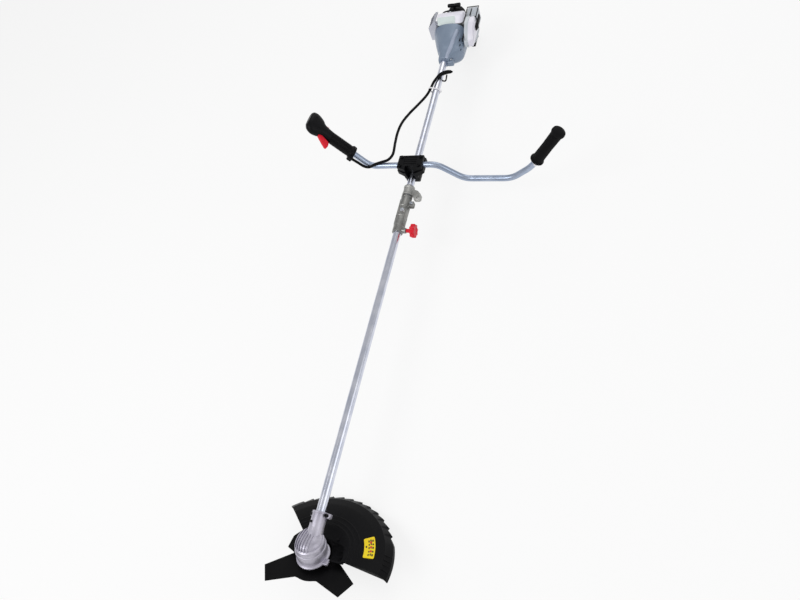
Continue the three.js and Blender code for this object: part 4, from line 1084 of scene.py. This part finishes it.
# recoil starter
starter = {"start": 1796.3, "end": 1840, "vents": 12, "ropeExit": (8, 1825)}
starterProfile = [
    (0, starter["start"]), (42.4, starter["start"]), (43, 1797), (43, 1804), (41.6, 1805),
    (41.6, 1808), (43, 1809), (43, 1819), (42.4, 1822), (40, 1832), (38, 1836.4), (34, 1839),
    (31, starter["end"]), (14, starter["end"]), (13, 1838.6), (0, 1838.6),
]
starterCase = turned(starterProfile, "Y", steps=96)
humpLine = [(-20, 20), (-18, 38), (-12, 45), (-6, 48), (24, 48), (32, 44), (38, 34), (40, 14)]
ropeBoss = slab(humpLine, 1812, 1837, "Y")
rounded(ropeBoss, 4, 4, [e for e in levelEdges(ropeBoss, "Y") if min(v.co.z for v in e.verts) > 30])
vents = []
for k in range(starter["vents"]):
    vent = softBlock(17.5, 28.5, 1836.6, 1850, -2, 2, 1.2)
    vents.append(turnedBy(vent, 360 * k / starter["vents"], "Y"))
starterCase = carved(starterCase, ropeBoss, operation="UNION")
starterCase = carved(starterCase, rod(2.6, 30, 60, "Z", starter["ropeExit"]), *vents)
finishPiece("recoil_housing_moulded", starterCase, blackNylon, "engine_unit",
            ["recoil_housing"], bevel=0.4)
pullProfile = [
    (0, -14), (5, -14), (6.5, -12), (6.5, 0), (5.8, 9), (6.5, 18), (6.5, 30), (5, 32), (0, 32),
]
pull = together(
    turned(pullProfile, "X", (1825, 60), 48),
    turned([(0, 49.3), (4, 49.3), (5, 50.4), (5, 58), (0, 58)], "Z", starter["ropeExit"], 32))
finishPiece("starter_handle_moulded", pull, blackNylon, "starter_handle",
            ["starter_handle"])
# the rope has many rings along its length, though nothing here stretches it to the handle
rope = {"low": 30, "high": 49, "radius": 2, "rings": 48}
ropeStep = (rope["high"] - rope["low"]) / rope["rings"]
ropeProfile = [(rope["radius"], rope["low"] + ropeStep * k) for k in range(rope["rings"] + 1)]
ropeProfile = [(0, rope["low"])] + ropeProfile + [(0, rope["high"])]
ropeEnds = [(*starter["ropeExit"], h) for h in (rope["low"], rope["high"])]
finishPiece("starter_rope_braided", turned(ropeProfile, "Z", starter["ropeExit"], 16), softRubber,
            "engine_unit", ["starter_rope"], drawnOutBy=("starter_handle", *ropeEnds))
print("starter made")

# fuel tank, one milky blow-moulded shell
tank = {"filler": (-20, -81), "capGrips": 16}
tankBody = carved(
    softBlock(-58, 60, 1810, 1886, -104, -59, 12, 5),
    softBlock(45, 60, 1810, 1850, -80, -10, 6, 4),
    softBlock(45, 88, 1794, 1850, -26, 28, 9, 5),
    rod(9, 1870, 1891, "Y", tank["filler"], 0.6),
    operation="UNION",
)
tankSeam = softBlock(-58.0, 60.0, 1847, 1849.4, -104, -59, 11.4, 5)
finishPiece("fuel_tank_blown", together(tankBody, tankSeam), milkyTank, "engine_unit",
            ["fuel_tank"])
# a dark cage strip round the top of the tank's upright part, and a bar down it
cage = [
    softBlock(44.6, 88.4, 1793.6, 1796.2, 25.6, 28.4, 0.8),
    softBlock(44.6, 88.4, 1847.8, 1850.4, 25.6, 28.4, 0.8),
    softBlock(85.8, 88.4, 1793.6, 1850.4, 25.6, 28.4, 0.8),
    softBlock(44.6, 47.2, 1793.6, 1850.4, 25.6, 28.4, 0.8),
    softBlock(62, 66.4, 1797, 1838, 26.6, 28.8, 0.8),
    softBlock(85.8, 88.4, 1793.6, 1796.2, -22, 28, 0.8),
]
finishPiece("tank_strap", together(*cage), blackNylon, "engine_unit")
capProfile = [(0, 1891.3), (11.4, 1891.3), (12, 1892), (12, 1898.6), (11, 1900), (0, 1900)]
capBody = turned(capProfile, "Y", tank["filler"], 48)
fillerX, fillerZ = tank["filler"]
grips = []
for k in range(tank["capGrips"]):
    grip = softBlock(11.2, 12.4, 1892.4, 1898.6, -0.9, 0.9, 0.4, 2)
    grips.append(moved(turnedBy(grip, 360 / tank["capGrips"] * k, "Y"), (fillerX, 0, fillerZ)))
finishPiece("fuel_cap_moulded", together(capBody, *grips), blackNylon, "fuel_cap",
            ["fuel_cap"])
print("tank made")

# crankcase: a ribbed casting with bolt bosses at its corners
case = {"half": 38.6, "full": 40, "front": 1740, "rear": 1796, "low": -46, "top": 34}
caseRibs = [softBlock(-case["full"], case["full"], 1744, 1792, z - 1.3, z + 1.3, 0.9, 2)
            for z in (-34, -22, -10, 2, 14)]
bosses = [rod(5, case["front"] + 0.6, case["rear"] - 0.2, "Y", (x, z), 0.8)
          for x in (-34, 34) for z in (-40, 28)]
flangeHalf = softBlock(-case["full"], case["full"], 1765, 1771, case["low"], case["top"], 1.6, 3)
caseCore = softBlock(-case["half"], case["half"], case["front"], case["rear"], -44.4, 33.6, 5, 4)
caseBlock = carved(
    together(caseCore, flangeHalf, *caseRibs, *bosses),
    rod(7.2, 1730, 1800, "Y"), rod(15, 10, 60, "Z", (0, barrel["y"])), crossing=True)
finishPiece("crankcase_cast", caseBlock, castGrey, "engine_unit", ["crankcase"],
            bevel=0.3)

# stand: two skids with a window through each, and two bars across
stand = {"front": 1852, "rear": 1906, "foot": -148.49, "top": -111.4, "skids": ((-56, -42), (24, 38))}
skids = []
for x0, x1 in stand["skids"]:
    skid = slab([(stand["front"], stand["foot"]), (stand["rear"], stand["foot"]), (stand["rear"], -141),
                 (1897, stand["top"]), (1861, stand["top"]), (stand["front"], -141)], x0, x1, "X")
    rounded(skid, 2.2, 3, levelEdges(skid, "X"))
    skids.append(carved(skid, softBlock(x0 - 4, x1 + 4, 1867, 1891, -138, -121, 3.4)))
    skids.append(softBlock(x0 + 3, x1 - 3, 1858, 1900, -114, -110.2, 1.2))
bars = [softBlock(-56, 38, y, y + 14, -112.3, -104.3, 2.4) for y in (1856, 1888)]
gussets = [softBlock(x - 1.5, x + 1.5, 1866, 1892, -110.6, -105.4, 0.8, 2) for x in (-32, -9, 14)]
finishPiece("engine_stand_moulded", together(*skids, *bars, *gussets), blackNylon, "engine_unit",
            ["engine_stand"])

# CAD nodes kept as they are: their own finish, and a softened edge on some
kept = {
    "bevel_gear": zincSteel, "pinion": zincSteel, "lower_drive_shaft": zincSteel,
    "upper_drive_shaft": zincSteel, "clutch_drum": zincSteel, "clutch_shoes": castGrey,
    "crankshaft": zincSteel, "flywheel": castHead, "muffler": pressedSheet, "throttle_arm": zincSteel,
    "carburettor": castGrey, "ignition_coil": blackNylon,
}
softened = {
    "muffler": 1.6, "carburettor": 1.0, "ignition_coil": 0.8, "flywheel": 0.8, "throttle_arm": 0.5,
}
for obj in list(bpy.data.objects):
    if obj.type == "MESH" and obj.name in kept:
        for slot in obj.material_slots:
            slot.material = kept[obj.name]
        if obj.name in softened:
            weld = obj.modifiers.new("weld", "WELD")
            weld.merge_threshold = 0.00001
            edge = obj.modifiers.new("soft edge", "BEVEL")
            edge.width = softened[obj.name] * mm
            edge.segments = 2
            edge.limit_method = "ANGLE"
            edge.angle_limit = math.radians(40)
print("kept nodes finished", len(kept))

# floor, sky and lamps
studio = {"floorSize": 600, "floor": "#f4f4f4", "sky": 0.55, "key": 36, "fill": 14, "back": 12,
          "whiten": 0.78}
floorZ = cadBox[0][2]
floorMesh = bmesh.new()
bmesh.ops.create_grid(floorMesh, x_segments=1, y_segments=1, size=studio["floorSize"] / 2)
bmesh.ops.translate(floorMesh, vec=(0, 0, floorZ - 0.0005), verts=floorMesh.verts)
floorData = bpy.data.meshes.new("floor")
floorMesh.to_mesh(floorData)
floorMesh.free()
floor = bpy.data.objects.new("floor", floorData)
bpy.context.scene.collection.objects.link(floor)
paper = bpy.data.materials.new("backdropPaper")
paper.use_nodes = True
paperTree = paper.node_tree
paperTree.nodes.clear()
paperShade = addNode(paperTree, "ShaderNodeBsdfDiffuse", {"Color": linear(studio["floor"])})
paperGlow = addNode(paperTree, "ShaderNodeEmission", {"Color": linear("#ffffff"), "Strength": 1.0})
paperRay = addNode(paperTree, "ShaderNodeLightPath")
floorData.materials.append(paper)
# seen by the camera or in a reflection, the paper glows towards white
seen = addNode(paperTree, "ShaderNodeMath", {"operation": "MAXIMUM"},
               {0: paperRay.outputs["Is Camera Ray"], 1: paperRay.outputs["Is Glossy Ray"]})
seenToo = addNode(paperTree, "ShaderNodeMath", {"operation": "MAXIMUM"},
                  {0: seen.outputs["Value"], 1: paperRay.outputs["Is Transmission Ray"]})
share = addNode(paperTree, "ShaderNodeMath", {"operation": "MULTIPLY", 1: studio["whiten"]},
                {0: seenToo.outputs["Value"]})
paperMix = addNode(paperTree, "ShaderNodeMixShader", None, {
    0: share.outputs["Value"], 1: paperShade.outputs["BSDF"], 2: paperGlow.outputs["Emission"]})
addNode(paperTree, "ShaderNodeOutputMaterial", None, {"Surface": paperMix.outputs["Shader"]})

sky = bpy.data.worlds.new("studioSky")
bpy.context.scene.world = sky
sky.use_nodes = True
skyTree = sky.node_tree
skyTree.nodes.clear()
skyRay = addNode(skyTree, "ShaderNodeLightPath")
skyLevel = addNode(skyTree, "ShaderNodeMapRange", {"To Min": studio["sky"], "To Max": 1.0},
                   {"Value": skyRay.outputs["Is Camera Ray"]})
skyGlow = addNode(skyTree, "ShaderNodeBackground", {"Color": linear("#ffffff")},
                  {"Strength": skyLevel.outputs["Result"]})
addNode(skyTree, "ShaderNodeOutputWorld", None, {"Surface": skyGlow.outputs["Background"]})


def softLamp(name, power, size, place, aim):
    data = bpy.data.lights.new(name, "AREA")
    data.energy = power
    data.size = size
    lamp = bpy.data.objects.new(name, data)
    toward = Vector(aim) - Vector(place)
    lamp.matrix_world = Matrix.Translation(place) @ toward.to_track_quat("-Z", "Y").to_matrix().to_4x4()
    bpy.context.scene.collection.objects.link(lamp)
    return lamp


softLamp("keyLamp", studio["key"], 1.6, (-1.4, -1.6, 2.8), (0, 0, 0.15))
softLamp("fillLamp", studio["fill"], 2.0, (2.4, -0.6, 1.8), (0, 0, 0.15))
softLamp("backLamp", studio["back"], 1.8, (0.2, 2.6, 2.2), (0, 0.2, 0.15))

# camera: from the blade's end, above and to the operator's left
view = {"azimuth": 43.558, "elevation": 56.067, "roll": -34.412, "lens": 27.28,
        "place": (724.954, -16.248, 1424.303)}
az, el, roll = (math.radians(view[key]) for key in ("azimuth", "elevation", "roll"))
back = Vector((math.sin(az) * math.cos(el), -math.cos(az) * math.cos(el), math.sin(el)))
right = Vector((math.cos(az), math.sin(az), 0))
up = back.cross(right)
rightTurned = right * math.cos(roll) + up * math.sin(roll)
upTurned = up * math.cos(roll) - right * math.sin(roll)
cameraData = bpy.data.cameras.new("camera")
cameraData.lens = view["lens"]
cameraData.sensor_width = 36
cameraData.clip_start = 0.02
cameraData.clip_end = 1000
camera = bpy.data.objects.new("camera", cameraData)
turn = Matrix((rightTurned, upTurned, back)).transposed().to_4x4()
camera.matrix_world = Matrix.Translation(machineFrame @ Vector(view["place"])) @ turn
bpy.context.scene.collection.objects.link(camera)
bpy.context.scene.camera = camera
bpy.context.scene.view_settings.view_transform = "Standard"
print("studio made")
